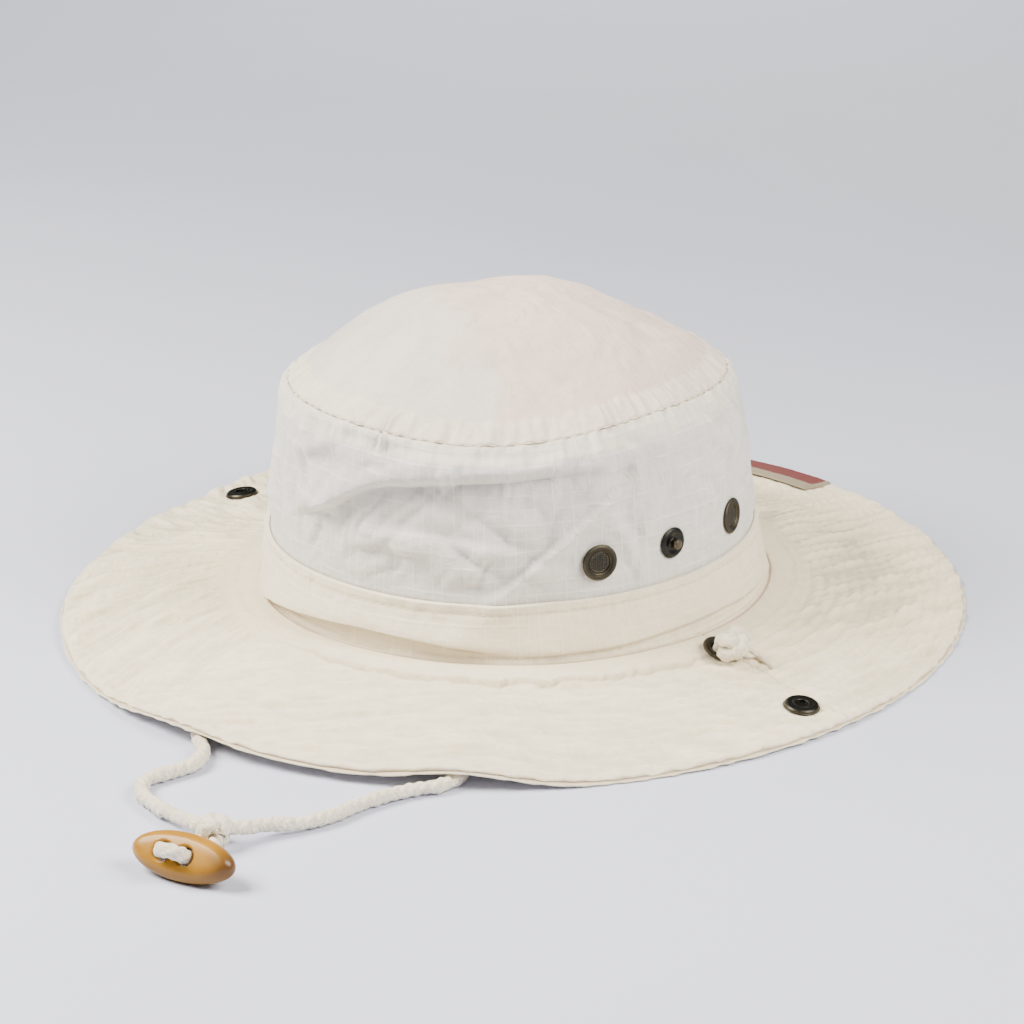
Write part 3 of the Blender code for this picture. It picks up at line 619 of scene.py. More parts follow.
@dataclass(frozen=True)
class HatForm:
    """The hat's form, from the same named sizes as its solids, as functions of an angle round it and
    of a place up the crown or a distance out along the brim."""

    foot_half_x: float = 0.0930
    foot_half_y: float = 0.0960
    foot_height: float = 0.0128
    wall_height: float = 0.0796
    dome_rise: float = 0.0342
    lean_x: float = 0.0008
    lean_y: float = 0.0027
    rim_sag: float = 0.0064
    rim_sag_turn: float = 122.0
    seam_dip: float = 0.0072
    seam_dip_turn: float = -48.0
    seam_dip_spread: float = 36.0
    crown_thick: float = 0.0010
    fold_depth: float = 0.0030
    band_height: float = 0.0225
    band_thick: float = 0.0012
    brim_half_x: float = 0.1665
    brim_half_y: float = 0.1765
    brim_thick: float = 0.0020
    brim_ease: float = 0.5
    wave_rise: float = 0.0060
    rest_press: float = 0.0004
    ring_width: float = 0.0115
    ring_rise: float = 0.0009
    ring_slope: float = 0.25
    folds_begin: float = 0.12
    folds_end: float = 0.96
    folds_fade: float = 0.10
    table_steps: int = 400
    sections: tuple[Section, ...] = (
        Section(0.00, 1.000, 1.000, 0.00, 0.00),
        Section(0.27, 0.950, 0.980, 0.45, 0.05),
        Section(0.58, 0.930, 0.968, 0.60, 0.20),
        Section(0.83, 0.892, 0.958, 0.80, 0.60),
        Section(0.95, 0.842, 0.932, 0.95, 0.90),
        Section(1.00, 0.804, 0.915, 1.00, 1.00),
    )
    dome_shares: tuple[float, ...] = (0.84, 0.66, 0.46, 0.24, 0.0)
    folds: tuple[Fold, ...] = (
        Fold(-60.0, 0.80, 0.62, 0.075, -4.0, 0.75),
        Fold(-60.0, 0.62, 0.60, 0.070, -4.0, -0.85),
        Fold(-36.0, 0.52, 0.60, 0.050, 42.0, 0.60),
        Fold(-28.0, 0.44, 0.60, 0.080, 42.0, -0.45),
        Fold(-78.0, 0.36, 0.45, 0.090, 8.0, -0.55),
        Fold(-128.0, 0.78, 0.28, 0.110, -25.0, -0.60),
        Fold(62.0, 0.60, 0.40, 0.120, 12.0, -0.50),
        Fold(150.0, 0.64, 0.55, 0.100, -8.0, -0.60),
    )
    waves: tuple[Wave, ...] = (
        Wave(-86.0, 13.0, 1.04),
        Wave(-68.0, 9.0, 0.45),
        Wave(-52.0, 9.5, 1.06),
        Wave(-8.0, 26.0, 0.20),
        Wave(-125.0, 16.0, 0.35),
        Wave(170.0, 12.0, 0.42),
        Wave(127.0, 17.0, 0.40),
    )

    @cached_property
    def rows(self) -> Array:
        """Height, half widths, and shares of lean and sag of each section, from the foot to the middle
        of the tip, whose height is a paraboloid over the seam."""
        wall = [
            (
                self.foot_height + self.wall_height * row.wall,
                self.foot_half_x * row.side,
                self.foot_half_y * row.length,
                row.lean,
                row.sag,
            )
            for row in self.sections
        ]
        height, half_x, half_y, lean, sag = wall[-1]
        dome = [
            (height + self.dome_rise * (1.0 - share**2), half_x * share, half_y * share, lean, sag * share)
            for share in self.dome_shares
        ]
        return np.array(wall + dome)

    @property
    def seam_row(self) -> float:
        """The seam's place in the rows."""
        return float(len(self.sections) - 1)

    @property
    def top_row(self) -> float:
        """The place of the tip's middle in the rows."""
        return float(len(self.rows) - 1)

    def smooth(self, theta: Array, place: Array) -> Array:
        """The crown's outside before its folds: ovals through the rows, each shifted by the lean, and
        lowered by a cosine and a bell curve of the angle as its share of the sag says.

        Args:
            theta: angles in radians.
            place: places in the rows.

        Returns:
            Points, last axis x, y, z.
        """
        theta, place = np.broadcast_arrays(theta, place)
        height, half_x, half_y, lean, sag = np.moveaxis(through_rows(self.rows, place), -1, 0)
        tiny = 1e-9
        radius = oval_radius(theta, np.maximum(half_x, tiny), np.maximum(half_y, tiny))
        drop = self.rim_sag * np.cos(np.radians(from_turn(theta, self.rim_sag_turn)))
        drop = drop + self.seam_dip * bell(from_turn(theta, self.seam_dip_turn), self.seam_dip_spread)
        x = radius * np.cos(theta) - self.lean_x * lean
        y = radius * np.sin(theta) - self.lean_y * lean
        return np.stack([x, y, height - drop * sag], axis=-1)

    def normals(self, theta: Array, place: Array) -> Array:
        """Outward normals of the smooth crown: the cross product of small steps round and up.

        Args:
            theta: angles in radians.
            place: places in the rows.

        Returns:
            Vectors of length one.
        """
        step = 0.02
        theta, place = np.broadcast_arrays(theta, place)
        top = self.top_row
        around = self.smooth(theta + step, place) - self.smooth(theta - step, place)
        above = self.smooth(theta, np.minimum(place + step, top - step))
        below = self.smooth(theta, np.maximum(np.minimum(place, top - 2.0 * step) - step, 0.0))
        normal = np.cross(around, above - below)
        size = np.linalg.norm(normal, axis=-1, keepdims=True)
        return np.where(size > 1e-12, normal / np.maximum(size, 1e-12), (0.0, 0.0, 1.0))

    @cached_property
    def rise_table(self) -> tuple[Array, Array]:
        """Places up the wall and the share of its height at each."""
        places = np.linspace(0.0, self.seam_row, self.table_steps)
        return places, (through_rows(self.rows, places)[:, 0] - self.foot_height) / self.wall_height

    def row_at_rise(self, rise: Array) -> Array:
        """The place in the rows at a share of the wall's height."""
        places, rises = self.rise_table
        return np.interp(rise, rises, places)

    def rise_at_row(self, place: Array) -> Array:
        """The share of the wall's height at a place in the rows."""
        height = through_rows(self.rows, np.asarray(place, dtype=float))[..., 0]
        return (height - self.foot_height) / self.wall_height

    @cached_property
    def arc_table(self) -> tuple[Array, Array]:
        """Places from foot to middle and the length of cloth up to each, along the side."""
        places = np.linspace(0.0, self.top_row, 2 * self.table_steps)
        line = self.smooth(np.zeros(1), places)
        run = run_along(line)
        return places, run

    def seam_distance(self, place: Array) -> Array:
        """Length of cloth from each place to the seam: under 0 on the wall and over 0 on the tip."""
        places, run = self.arc_table
        return np.interp(place, places, run) - np.interp(self.seam_row, places, run)

    def row_at_seam_distance(self, distance: Array) -> Array:
        """The place in the rows at a length of cloth from the seam."""
        places, run = self.arc_table
        return np.interp(distance + np.interp(self.seam_row, places, run), run, places)

    def fold_push(self, theta: Array, place: Array) -> Array:
        """How far the solid's folds push the wall out: a sum of slanted bell curves.

        Args:
            theta: angles in radians.
            place: places in the rows.

        Returns:
            Distances along the normal.
        """
        rise = self.rise_at_row(place)
        total = np.zeros(np.broadcast(theta, rise).shape)
        for fold in self.folds:
            across = np.radians(from_turn(theta, fold.turn)) * self.foot_half_x / self.wall_height
            above = rise - fold.rise
            slant = math.radians(fold.slant)
            along = across * math.cos(slant) + above * math.sin(slant)
            over = above * math.cos(slant) - across * math.sin(slant)
            total = total + fold.depth * bell(along, fold.length) * bell(over, fold.width)
        calm = np.clip(rise / self.folds_begin, 0.0, 1.0)
        calm = calm * np.clip((self.folds_end - rise) / self.folds_fade, 0.0, 1.0)
        return self.fold_depth * total * calm

    def wall_seat(self, turn: float, height: float, radius: float) -> Seat:
        """Where a disc stands on the wall: it clears the wall's roundness and its folds.

        Args:
            turn: the disc's turn in degrees.
            height: its height over the table.
            radius: its radius.

        Returns:
            Its seat.
        """
        theta = np.radians(np.array([turn]))
        rise = (height - self.foot_height) / self.wall_height
        place = self.row_at_rise(np.array([rise]))
        normal = self.normals(theta, place)[0]
        point = self.smooth(theta, place)[0] + normal * self.fold_push(theta, place)[0]
        ups, sides = np.meshgrid(np.linspace(-1.0, 1.0, 5), np.linspace(-1.0, 1.0, 5))
        angles = np.radians(turn + sides * math.degrees(radius / self.foot_half_x))
        places = self.row_at_rise(rise + ups * radius / self.wall_height)
        push = self.fold_push(angles, places)[..., None]
        near = self.smooth(angles, places) + self.normals(angles, places) * push
        return Seat(point, normal, float(np.max((near - point) @ normal)) + GAP)

    def hole(self, theta: Array) -> Array:
        """Radius of the hole in the brim, flush with the inside of the wall."""
        return oval_radius(theta, self.foot_half_x - self.crown_thick, self.foot_half_y - self.crown_thick)

    def edge(self, theta: Array) -> Array:
        """Radius of the brim's edge."""
        return oval_radius(theta, self.brim_half_x, self.brim_half_y)

    def width(self, theta: Array) -> Array:
        """The brim's width from its hole to its edge."""
        return self.edge(theta) - self.hole(theta)

    def under_height(self, theta: Array, out: Array) -> Array:
        """Height of the brim's underside: a blend of a straight fall and half a cosine wave, and the
        waves of the edge, which grow outwards, pressed flat where the brim rests.

        Args:
            theta: angles in radians.
            out: shares of the way from the hole to the edge.

        Returns:
            Heights over the table.
        """
        easing = 0.5 + 0.5 * np.cos(math.pi * out)
        shape = (1.0 - self.brim_ease) * (1.0 - out) + self.brim_ease * easing
        fall = (self.foot_height - self.brim_thick) * shape
        lift = sum(wave.rise * bell(from_turn(theta, wave.turn), wave.spread) for wave in self.waves)
        return np.maximum(fall + self.wave_rise * lift * out - self.rest_press * out, 0.0)

    def brim(self, theta: Array, distance: Array, above: Array | float) -> Array:
        """Points of the brim a distance out from its hole, at a height over its underside.

        Args:
            theta: angles in radians.
            distance: lengths out from the hole.
            above: heights over the underside.

        Returns:
            Points, last axis x, y, z.
        """
        theta, distance, above = np.broadcast_arrays(theta, distance, above)
        radius = self.hole(theta) + distance
        height = self.under_height(theta, np.clip(distance / self.width(theta), 0.0, 1.0)) + above
        return np.stack([radius * np.cos(theta), radius * np.sin(theta), height], axis=-1)

    @property
    def ring_begin(self) -> float:
        """Distance from the hole to where the raised seam round the crown begins."""
        return self.crown_thick + GAP + self.band_thick + GAP

    @property
    def ring_end(self) -> float:
        """Distance from the hole to where the raised seam's outer slope ends."""
        return self.ring_begin + self.ring_width * (1.0 + self.ring_slope)

    def ring_height(self, distance: Array) -> Array:
        """Height of the solid's raised seam: a flat-topped step with sloping sides."""
        side = self.ring_width * self.ring_slope
        up = (distance - self.ring_begin) / side
        down = (self.ring_end - distance) / side
        return self.ring_rise * np.clip(np.minimum(up, down), 0.0, 1.0)

    def brim_top(self, theta: Array, distance: Array) -> Array:
        """Points on the top of the solid brim."""
        return self.brim(theta, distance, self.brim_thick + self.ring_height(distance))

    def brim_seat(self, turn: float, distance: float, radius: float) -> Seat:
        """Where a disc stands on the brim: it clears the brim's curve and its raised seam.

        Args:
            turn: the disc's turn in degrees.
            distance: its distance out from the hole.
            radius: its radius.

        Returns:
            Its seat.
        """
        step = 0.0005
        theta = np.radians(np.array([turn]))
        point = self.brim_top(theta, distance)[0]
        out = self.brim_top(theta, distance + step)[0] - self.brim_top(theta, distance - step)[0]
        around = self.brim_top(theta + step, distance)[0] - self.brim_top(theta - step, distance)[0]
        normal = unit(np.cross(out, around))
        outs, sides = np.meshgrid(np.linspace(-1.0, 1.0, 5), np.linspace(-1.0, 1.0, 3))
        angles = np.radians(turn + sides * math.degrees(radius / float(self.hole(theta)[0])))
        near = self.brim_top(angles, distance + outs * radius)
        return Seat(point, normal, max(float(np.max((near - point) @ normal)), 0.0) + GAP)


@dataclass(frozen=True)
class FittingPlan:
    """Where the fittings are, mirrored on the two sides, and their sizes."""

    vent_turn: float = -2.0
    vent_spread: float = 22.5
    vent_height: float = 0.0480
    vent_radius: float = 0.0067
    vent_bore: float = 0.0040
    vent_rim: float = 0.0010
    stud_turn: float = -4.0
    stud_height: float = 0.0488
    stud_radius: float = 0.0055
    stud_post: float = 0.0019
    stud_post_height: float = 0.0026
    socket_turn: float = -3.0
    socket_out: float = 0.0580
    socket_radius: float = 0.0063
    socket_height: float = 0.0016
    socket_bore: float = 0.0022
    eyelet_turn: float = -2.5
    eyelet_out: float = 0.0155
    eyelet_radius: float = 0.0062
    eyelet_bore: float = 0.0031
    eyelet_rim: float = 0.0009
    barrel_wall: float = 0.0005

    def sides(self, turn: float) -> dict[str, float]:
        """A fitting's turn on the near side and its mirror on the far side."""
        return {"near": turn, "far": 180.0 - turn}

    def vents(self, form: HatForm) -> dict[str, Seat]:
        """The seats of the four vents, by side and end.

        Args:
            form: the hat's form.

        Returns:
            One seat for each name.
        """
        seats = {}
        for side, middle in self.sides(self.vent_turn).items():
            sign = 1.0 if side == "near" else -1.0
            for end, offset in (("front", -self.vent_spread), ("back", self.vent_spread)):
                turn = middle + sign * offset
                seats[f"{side}_{end}"] = form.wall_seat(turn, self.vent_height, self.vent_radius)
        return seats

    def studs(self, form: HatForm) -> dict[str, Seat]:
        """The seats of the press studs on the wall, by side."""
        turns = self.sides(self.stud_turn)
        height, radius = self.stud_height, self.stud_radius
        return {side: form.wall_seat(turn, height, radius) for side, turn in turns.items()}

    def sockets(self, form: HatForm) -> dict[str, Seat]:
        """The seats of the sockets on the brim, by side."""
        turns = self.sides(self.socket_turn)
        out, radius = self.socket_out, self.socket_radius
        return {side: form.brim_seat(turn, out, radius) for side, turn in turns.items()}

    def eyelets(self, form: HatForm) -> dict[str, Seat]:
        """The seats of the cord's eyelets in the brim, by side."""
        turns = self.sides(self.eyelet_turn)
        out, radius = self.eyelet_out, self.eyelet_radius
        return {side: form.brim_seat(turn, out, radius) for side, turn in turns.items()}


# Sewn pieces


@dataclass(frozen=True)
class StitchStyle:
    """A run of thread stitches: each is a short rod with tapered ends that arches over the cloth."""

    length: float = 0.0024
    gap: float = 0.0009
    radius: float = 0.00021
    arch: float = 0.00016
    sink: float = 0.00006
    blunt: float = 0.45
    uneven: float = 0.08
    stations: int = 4
    sides: int = 5

    def add(self, build: MeshBuilder, starts: Array, ends: Array, normals: Array) -> None:
        """Adds one stitch between each start and end: its middle line is straight with half a sine wave
        of arch along the normal, and its radius falls towards the ends.

        Args:
            build: the mesh being gathered.
            starts: where each stitch leaves the cloth.
            ends: where it goes back in.
            normals: the way that the cloth faces there.
        """
        share = np.linspace(0.0, 1.0, self.stations)
        angle = ring_angles(self.sides)
        ahead = unit(ends - starts)
        side = unit(np.cross(ahead, normals))
        lift = np.sin(share * math.pi) * self.arch - self.sink
        middle = starts[:, None] + (ends - starts)[:, None] * share[:, None]
        middle = middle + normals[:, None] * lift[:, None]
        radii = self.radius * (self.blunt + (1.0 - self.blunt) * np.sin(share * math.pi) ** 0.5)
        spokes = side[:, None] * np.cos(angle)[:, None] + normals[:, None] * np.sin(angle)[:, None]
        points = middle[:, :, None] + spokes[:, None] * radii[None, :, None, None]
        index = build.add_points(points)
        step = np.arange(self.sides)
        after = (step + 1) % self.sides
        low, high = index[:, :-1], index[:, 1:]
        quads = np.stack([low[..., step], high[..., step], high[..., after], low[..., after]], axis=-1)
        build.add_faces(quads.reshape(-1, 4))
        build.add_faces(index[:, 0])
        build.add_faces(index[:, -1, ::-1])

    def along(
        self, path: Array, normals: Array, build: MeshBuilder, seed: int, clear: Array | None = None
    ) -> None:
        """Adds stitches along a closed path: the path's length is shared out evenly, and each stitch is
        a little shorter or longer than the next.

        Args:
            path: points round the path.
            normals: the way that the cloth faces at each.
            build: the mesh being gathered.
            seed: which run of uneven lengths.
            clear: which points of the path may carry stitches.
        """
        closed = np.concatenate([path, path[:1]])
        facing = np.concatenate([normals, normals[:1]])
        run = run_along(closed)
        count = int(run[-1] / (self.length + self.gap))
        pitch = run[-1] / count
        shift = np.random.default_rng(seed).uniform(-self.uneven, self.uneven, (2, count)) * pitch
        begins = np.arange(count) * pitch + shift[0] + pitch * 0.1
        stops = begins + pitch * self.length / (self.length + self.gap) + shift[1]
        read = [np.stack([np.interp(p, run, closed[:, k]) for k in range(3)], -1) for p in (begins, stops)]
        face = np.stack([np.interp(begins, run, facing[:, k]) for k in range(3)], -1)
        keep = np.ones(count, dtype=bool)
        if clear is not None:
            keep = np.interp(begins + pitch / 2.0, run, np.append(clear, clear[0]).astype(float)) > 0.99
        self.add(build, read[0][keep], read[1][keep], unit(face)[keep])


@dataclass
class Crown:
    """The crown: a domed tip sewn to an upright wall, with the folds that the soft cloth has taken."""

    form: HatForm
    plan: FittingPlan
    columns: int = 640
    seam_round: float = 0.0011
    allowance: float = 0.0090
    allowance_rise: float = 0.00035
    pucker: float = 0.00085
    soft_wave: float = 0.0013
    crease_wave: float = 0.0026
    fine_wave: float = 0.00050
    half_seam: float = 0.00012
    fullness: float = 0.0022
    flatness: float = 0.0026
    vent_hole: float = 0.0051
    pleat_turn: float = -76.3
    pleat_depth: float = 0.00120
    pleat_width: float = 0.0008
    seam_ragged: float = 0.0012
    thread_sink: float = 0.00012
    tip_rows: int = 56
    wall_rows: tuple[int, ...] = (3, 38, 6)
    wall_top_rows: int = 22
    calm_near: float = 0.0070
    calm_far: float = 0.0150
    soft_cell: float = 0.034
    fine_cell: float = 0.0090
    full_place: tuple[float, float] = (-0.048, -0.015)
    full_reach: float = 0.026
    flat_place: tuple[float, float] = (0.030, -0.010)
    flat_reach: float = 0.042
    shoulder: Crease = Crease(
        line=(
            (-110.0, 0.46, 0.0046), (-104.0, 0.52, 0.0044), (-90.0, 0.625, 0.0030),
            (-78.0, 0.765, 0.0034), (-66.0, 0.825, 0.0052), (-54.0, 0.862, 0.0050),
            (-43.0, 0.872, 0.0042), (-33.0, 0.872, 0.0034), (-18.0, 0.848, 0.0030),
        ),
        out=0.0033, into=0.0036, above=0.0080, below=0.0165, fade=25.0, crisp=1.0,
    )
    creases: tuple[Crease, ...] = (
        Crease(
            line=((-42.0, 0.875, 0.0050), (-24.0, 0.855, 0.0050), (-2.0, 0.815, 0.0050)),
            out=0.0010, into=0.0009, above=0.0060, below=0.0060, fade=20.0,
        ),
        Crease(
            line=(
                (-62.0, 0.22, 0.0022), (-48.5, 0.33, 0.0020), (-38.0, 0.49, 0.0020),
                (-32.0, 0.58, 0.0020), (-26.0, 0.67, 0.0020), (-18.0, 0.765, 0.0022),
                (-6.0, 0.83, 0.0026),
            ),
            out=-0.0030, into=-0.0014, above=0.0070, below=0.0035, fade=10.0, crisp=1.0,
        ),
        Crease(
            line=(
                (-84.0, 0.55, 0.0030), (-70.0, 0.585, 0.0024), (-55.0, 0.560, 0.0024), (-38.0, 0.52, 0.0030)
            ),
            out=-0.0012, into=-0.0010, above=0.0050, below=0.0040, fade=12.0,
        ),
        Crease(
            line=((-88.0, 0.46, 0.0050), (-74.0, 0.49, 0.0050), (-58.0, 0.45, 0.0050)),
            out=0.0014, into=0.0012, above=0.0060, below=0.0060, fade=11.0,
        ),
        Crease(
            line=((-104.0, 0.80, 0.0040), (-96.0, 0.83, 0.0040), (-86.0, 0.90, 0.0040)),
            out=0.0014, into=0.0012, above=0.0050, below=0.0050, fade=7.0,
        ),
        Crease(
            line=((60.0, 0.70, 0.0060), (90.0, 0.62, 0.0060), (128.0, 0.66, 0.0060)),
            out=0.0012, into=0.0012, above=0.0090, below=0.0100, fade=20.0,
        ),
    )

    def fitting_calm(self, points: Array) -> Array:
        """How far each place is from the fittings on the wall: 0 under them and 1 well clear."""
        seats = [*self.plan.vents(self.form).values(), *self.plan.studs(self.form).values()]
        calm = np.ones(points.shape[:-1])
        for seat in seats:
            calm = calm * ease(np.linalg.norm(points - seat.point, axis=-1), self.calm_near, self.calm_far)
        return calm

    def seam_push(self, theta: Array, distance: Array) -> Array:
        """How the seam shapes the cloth on either side: the edge turns in on a quarter circle, the
        seam's turned-in edges hold it up as far as their width, short ripples run out of it, and one
        pleat crosses it.

        Args:
            theta: angles in radians.
            distance: lengths of cloth from the seam, over 0 on the tip.

        Returns:
            Distances along the normal.
        """
        away = np.abs(distance)
        turn = np.degrees(theta) + 180.0
        inner = np.clip(self.seam_round - away, 0.0, self.seam_round)
        turned_in = self.seam_round - np.sqrt(self.seam_round**2 - inner**2)
        held = self.allowance_rise * (1.0 - ease(away, self.allowance - 0.0012, self.allowance + 0.0010))
        side = np.where(distance > 0.0, 11, 45)
        ripple = lattice_noise(turn / 2.0, away / 0.016 + side, 180, 11)
        ripple = ripple + 0.55 * lattice_noise(turn / 1.0, away / 0.007 + side, 360, 12)
        near = (0.35 + 0.65 * ease(away, 0.0, 0.0016)) * (1.0 - ease(away, 0.0060, 0.0130))
        pleat = from_turn(theta, self.pleat_turn) / 57.3 * 0.080 - 0.12 * distance
        depth = bell(pleat, self.pleat_width) - 0.7 * bell(pleat - 2.0 * self.pleat_width, 0.0010)
        window = (1.0 - ease(distance, 0.0070, 0.0120)) * ease(distance, -0.0090, -0.0060)
        return held - turned_in + self.pucker * ripple * near - self.pleat_depth * depth * window

    def tip_outside(self, theta: Array, place: Array) -> Array:
        """Points of the tip's outside: the smooth dome, the seam's shape, two sizes of soft waves,
        creases, and two bell curves that make the dome fuller on the left and flatter on the right.

        Args:
            theta: angles in radians.
            place: places in the form's rows.

        Returns:
            Points, last axis x, y, z.
        """
        base = self.form.smooth(theta, place)
        distance = self.form.seam_distance(place)
        x, y = base[..., 0], base[..., 1]
        broad = lattice_noise(x / self.soft_cell + 20.3, y / self.soft_cell + 20.1, 60, 21)
        fine = lattice_noise(x / self.fine_cell + 60.2, y / self.fine_cell + 60.6, 160, 22)
        clear = ease(distance, 0.004, 0.030)
        soft = self.soft_wave * broad + self.fine_wave * fine
        soft = soft + 0.6 * self.crease_wave * self.tip_creases(base)
        across, toward = (x + y) / math.sqrt(2.0), (x - y) / math.sqrt(2.0)
        full = np.hypot(across - self.full_place[0], toward - self.full_place[1])
        full = self.fullness * bell(full, self.full_reach)
        flat = np.hypot(across - self.flat_place[0], toward - self.flat_place[1])
        flat = self.flatness * bell(flat, self.flat_reach)
        push = self.seam_push(theta, distance) + (soft + full - flat) * clear
        return base + self.form.normals(theta, place) * push[..., None]

    def wall_push(self, theta: Array, place: Array) -> Array:
        """How far the wall stands out of the smooth form: the solid's broad folds where no sharper fold
        is drawn, the creases, which are weaker behind, and soft waves that slant round the wall.

        Args:
            theta: angles in radians.
            place: places in the form's rows.

        Returns:
            Distances along the normal.
        """
        form = self.form
        theta, place = np.broadcast_arrays(theta, place)
        rise = form.rise_at_row(place)
        turn = from_turn(theta, 0.0)
        above_band = ease(rise, form.band_height / form.wall_height - 0.01, 0.40)
        drawn = self.shoulder.strength(turn)
        broad = form.fold_push(theta, place) * (1.0 - 0.85 * drawn * above_band)
        sharp = self.shoulder.push(turn, rise, form.wall_height)
        for crease in self.creases:
            sharp = sharp + crease.push(turn, rise, form.wall_height)
        wave = 0.45 * lattice_noise((turn + 180.0) / 15.0 + rise * 1.6, rise * 5.0 + 2.0, 24, 31)
        behind = ease(np.abs(from_turn(theta, -45.0)), 75.0, 115.0)
        creased = self.wall_creases(theta, rise) * (1.0 - 0.45 * behind)
        smooth = form.smooth(theta, place)
        calm = self.fitting_calm(smooth) * above_band * (1.0 - ease(rise, 0.90, 0.99))
        total = broad + (sharp + wave * self.soft_wave + creased * self.crease_wave) * calm
        return total + self.seam_push(theta, form.seam_distance(place)) * ease(rise, 0.80, 0.90)

    def wall_creases(self, theta: Array, rise: Array) -> Array:
        """Two sizes of creases all round the wall.

        Args:
            theta: angles in radians.
            rise: shares of the wall's height.

        Returns:
            Heights as shares of the largest crease's.
        """
        around = np.degrees(theta) % 360.0
        creased = crumple(around / 12.0 + rise * 2.2, rise * 5.2 + 3.0, 30, 34)
        return creased + 0.60 * crumple(around / 5.0 - rise * 3.0, rise * 9.0 + 7.0, 72, 37)

    def tip_creases(self, points: Array) -> Array:
        """Two sizes of creases all over the tip, from points of its surface."""
        x, y = points[..., 0], points[..., 1]
        wide = crumple(x / 0.021 + 30.2, y / 0.027 + 30.6, 90, 24)
        return 0.75 * wide + 0.45 * crumple(x / 0.010 + 40.2, y / 0.008 + 50.6, 160, 27)

    def wall_rises(self, theta: Array) -> Array:
        """Shares of the wall's height of the grid's rows: evenly spread between the foot, the band's
        top, the two sides of the shoulder's fold, and the seam.

        Args:
            theta: angles of the columns.

        Returns:
            Shares, rows by columns.
        """
        form = self.form
        turn = from_turn(theta, 0.0)
        middle, step = read_line(self.shoulder.line, turn)
        near = ease(turn, -160.0, -106.0) * (1.0 - ease(turn, 0.0, 60.0))
        middle = 0.72 + (middle - 0.72) * near
        half = (0.008 + (step - 0.008) * near) / 2.0 / form.wall_height
        top = float(form.rise_at_row(form.row_at_seam_distance(np.array(-self.half_seam))))
        proud = middle + half
        lower = between([GAP * 2.0 / form.wall_height, 0.26, middle - half, proud], self.wall_rows)
        last = 1.0 - (1.0 - np.linspace(0.0, 1.0, self.wall_top_rows)[1:, None]) ** 1.7
        return np.concatenate([lower, proud * (1.0 - last) + top * last])

    def build_wall(self, finish: Material) -> None:
        """Builds the wall with a real thickness and round holes under the four vents.

        Args:
            finish: its cloth.
        """
        form = self.form
        theta = ring_angles(self.columns)
        rise = self.wall_rises(theta)
        place = form.row_at_rise(rise)
        angles = np.broadcast_to(theta, place.shape)
        push = self.wall_push(angles, place)
        normal = form.normals(angles, place)
        base = form.smooth(angles, place)
        outer = base + normal * push[..., None]
        inner = base + normal * (push - form.crown_thick)[..., None]
        keep = np.ones((len(rise) - 1, self.columns), dtype=bool)
        beside = np.roll(base, -1, axis=1)
        middle = (base[:-1] + base[1:] + beside[:-1] + beside[1:]) / 4.0
        for seat in self.plan.vents(form).values():
            keep &= self.axis_distance(middle, seat) > self.vent_hole
        rim = self.hole_rim(keep)
        for seat in self.plan.vents(form).values():
            near = rim & (np.linalg.norm(base - seat.point, axis=-1) < 0.02)
            outer[near] = self.onto_circle(outer[near], seat)
            inner[near] = self.onto_circle(inner[near], seat)
        around = np.broadcast_to(theta * form.foot_half_x, place.shape)
        uv = np.stack([around, rise * form.wall_height], axis=-1)
        distance = form.seam_distance(place)
        masks = self.seam_masks(angles, distance)
        # Painted shade: a thin dark line on the wall just over the band's top edge.
        over_band = rise - form.band_height / form.wall_height
        masks["line"] = np.maximum(masks["line"], 0.6 * bell(over_band, 0.007))
        # Painted shade in the creases' valleys and painted highlight on their ridges.
        masks["high"] = np.clip(0.5 + self.wall_creases(angles, rise), 0.0, 1.0)
        build = MeshBuilder("crown_wall_cloth", tuple(masks))
        outside = build.add_points(outer, uv, **masks)
        inside = build.add_points(inner, uv, **masks)
        build.add_shell(outside, inside, period=2.0 * math.pi * form.foot_half_x, keep=keep)
        self.add_hole_walls(build, outside, inside, keep)
        mount(build.build(finish), "wall_cotton", "crown_wall")

    def seam_masks(self, theta: Array, distance: Array) -> dict[str, Array]:
        """Masks of the cloth near the seam: its double thickness, whose lighter tint is partly painted
        highlight on the lit strip, and painted shade along the line where it is sewn.

        Args:
            theta: angles in radians.
            distance: lengths of cloth from the seam.

        Returns:
            Values from 0 to 1 by name.
        """
        away = np.abs(distance)
        ragged = self.seam_ragged * lattice_noise(np.degrees(theta) / 3.0 + 60.0, 3.3, 120, 13)
        reach = self.allowance + ragged
        double = 1.0 - ease(away, reach - 0.0010, reach + 0.0010)
        # Painted shade in the sewn groove; the seam mask's lighter tint is partly painted highlight.
        return {"seam": double, "line": 0.16 * bell(distance, 0.0006)}

    def axis_distance(self, points: Array, seat: Seat) -> Array:
        """Distance of each point from the line that a fitting's axis runs along, far away if behind."""
        away = points - seat.point
        along = away @ seat.normal
        across = np.linalg.norm(away - along[..., None] * seat.normal, axis=-1)
        return np.where(np.abs(along) > 0.02, 1.0, across)

    def onto_circle(self, points: Array, seat: Seat) -> Array:
        """Points moved straight away from a fitting's axis onto the hole's circle."""
        away = points - seat.point
        along = (away @ seat.normal)[:, None] * seat.normal
        return seat.point + along + unit(away - along) * self.vent_hole

    def hole_rim(self, keep: Array) -> Array:
        """Which points of a closed grid touch both a kept quad and one that is left out."""
        cut = ~keep
        touch = []
        for part in (keep, cut):
            rows = np.zeros((part.shape[0] + 1, part.shape[1]), dtype=bool)
            rows[:-1] |= part
            rows[1:] |= part
            touch.append(rows | np.roll(rows, 1, axis=1))
        return touch[0] & touch[1]

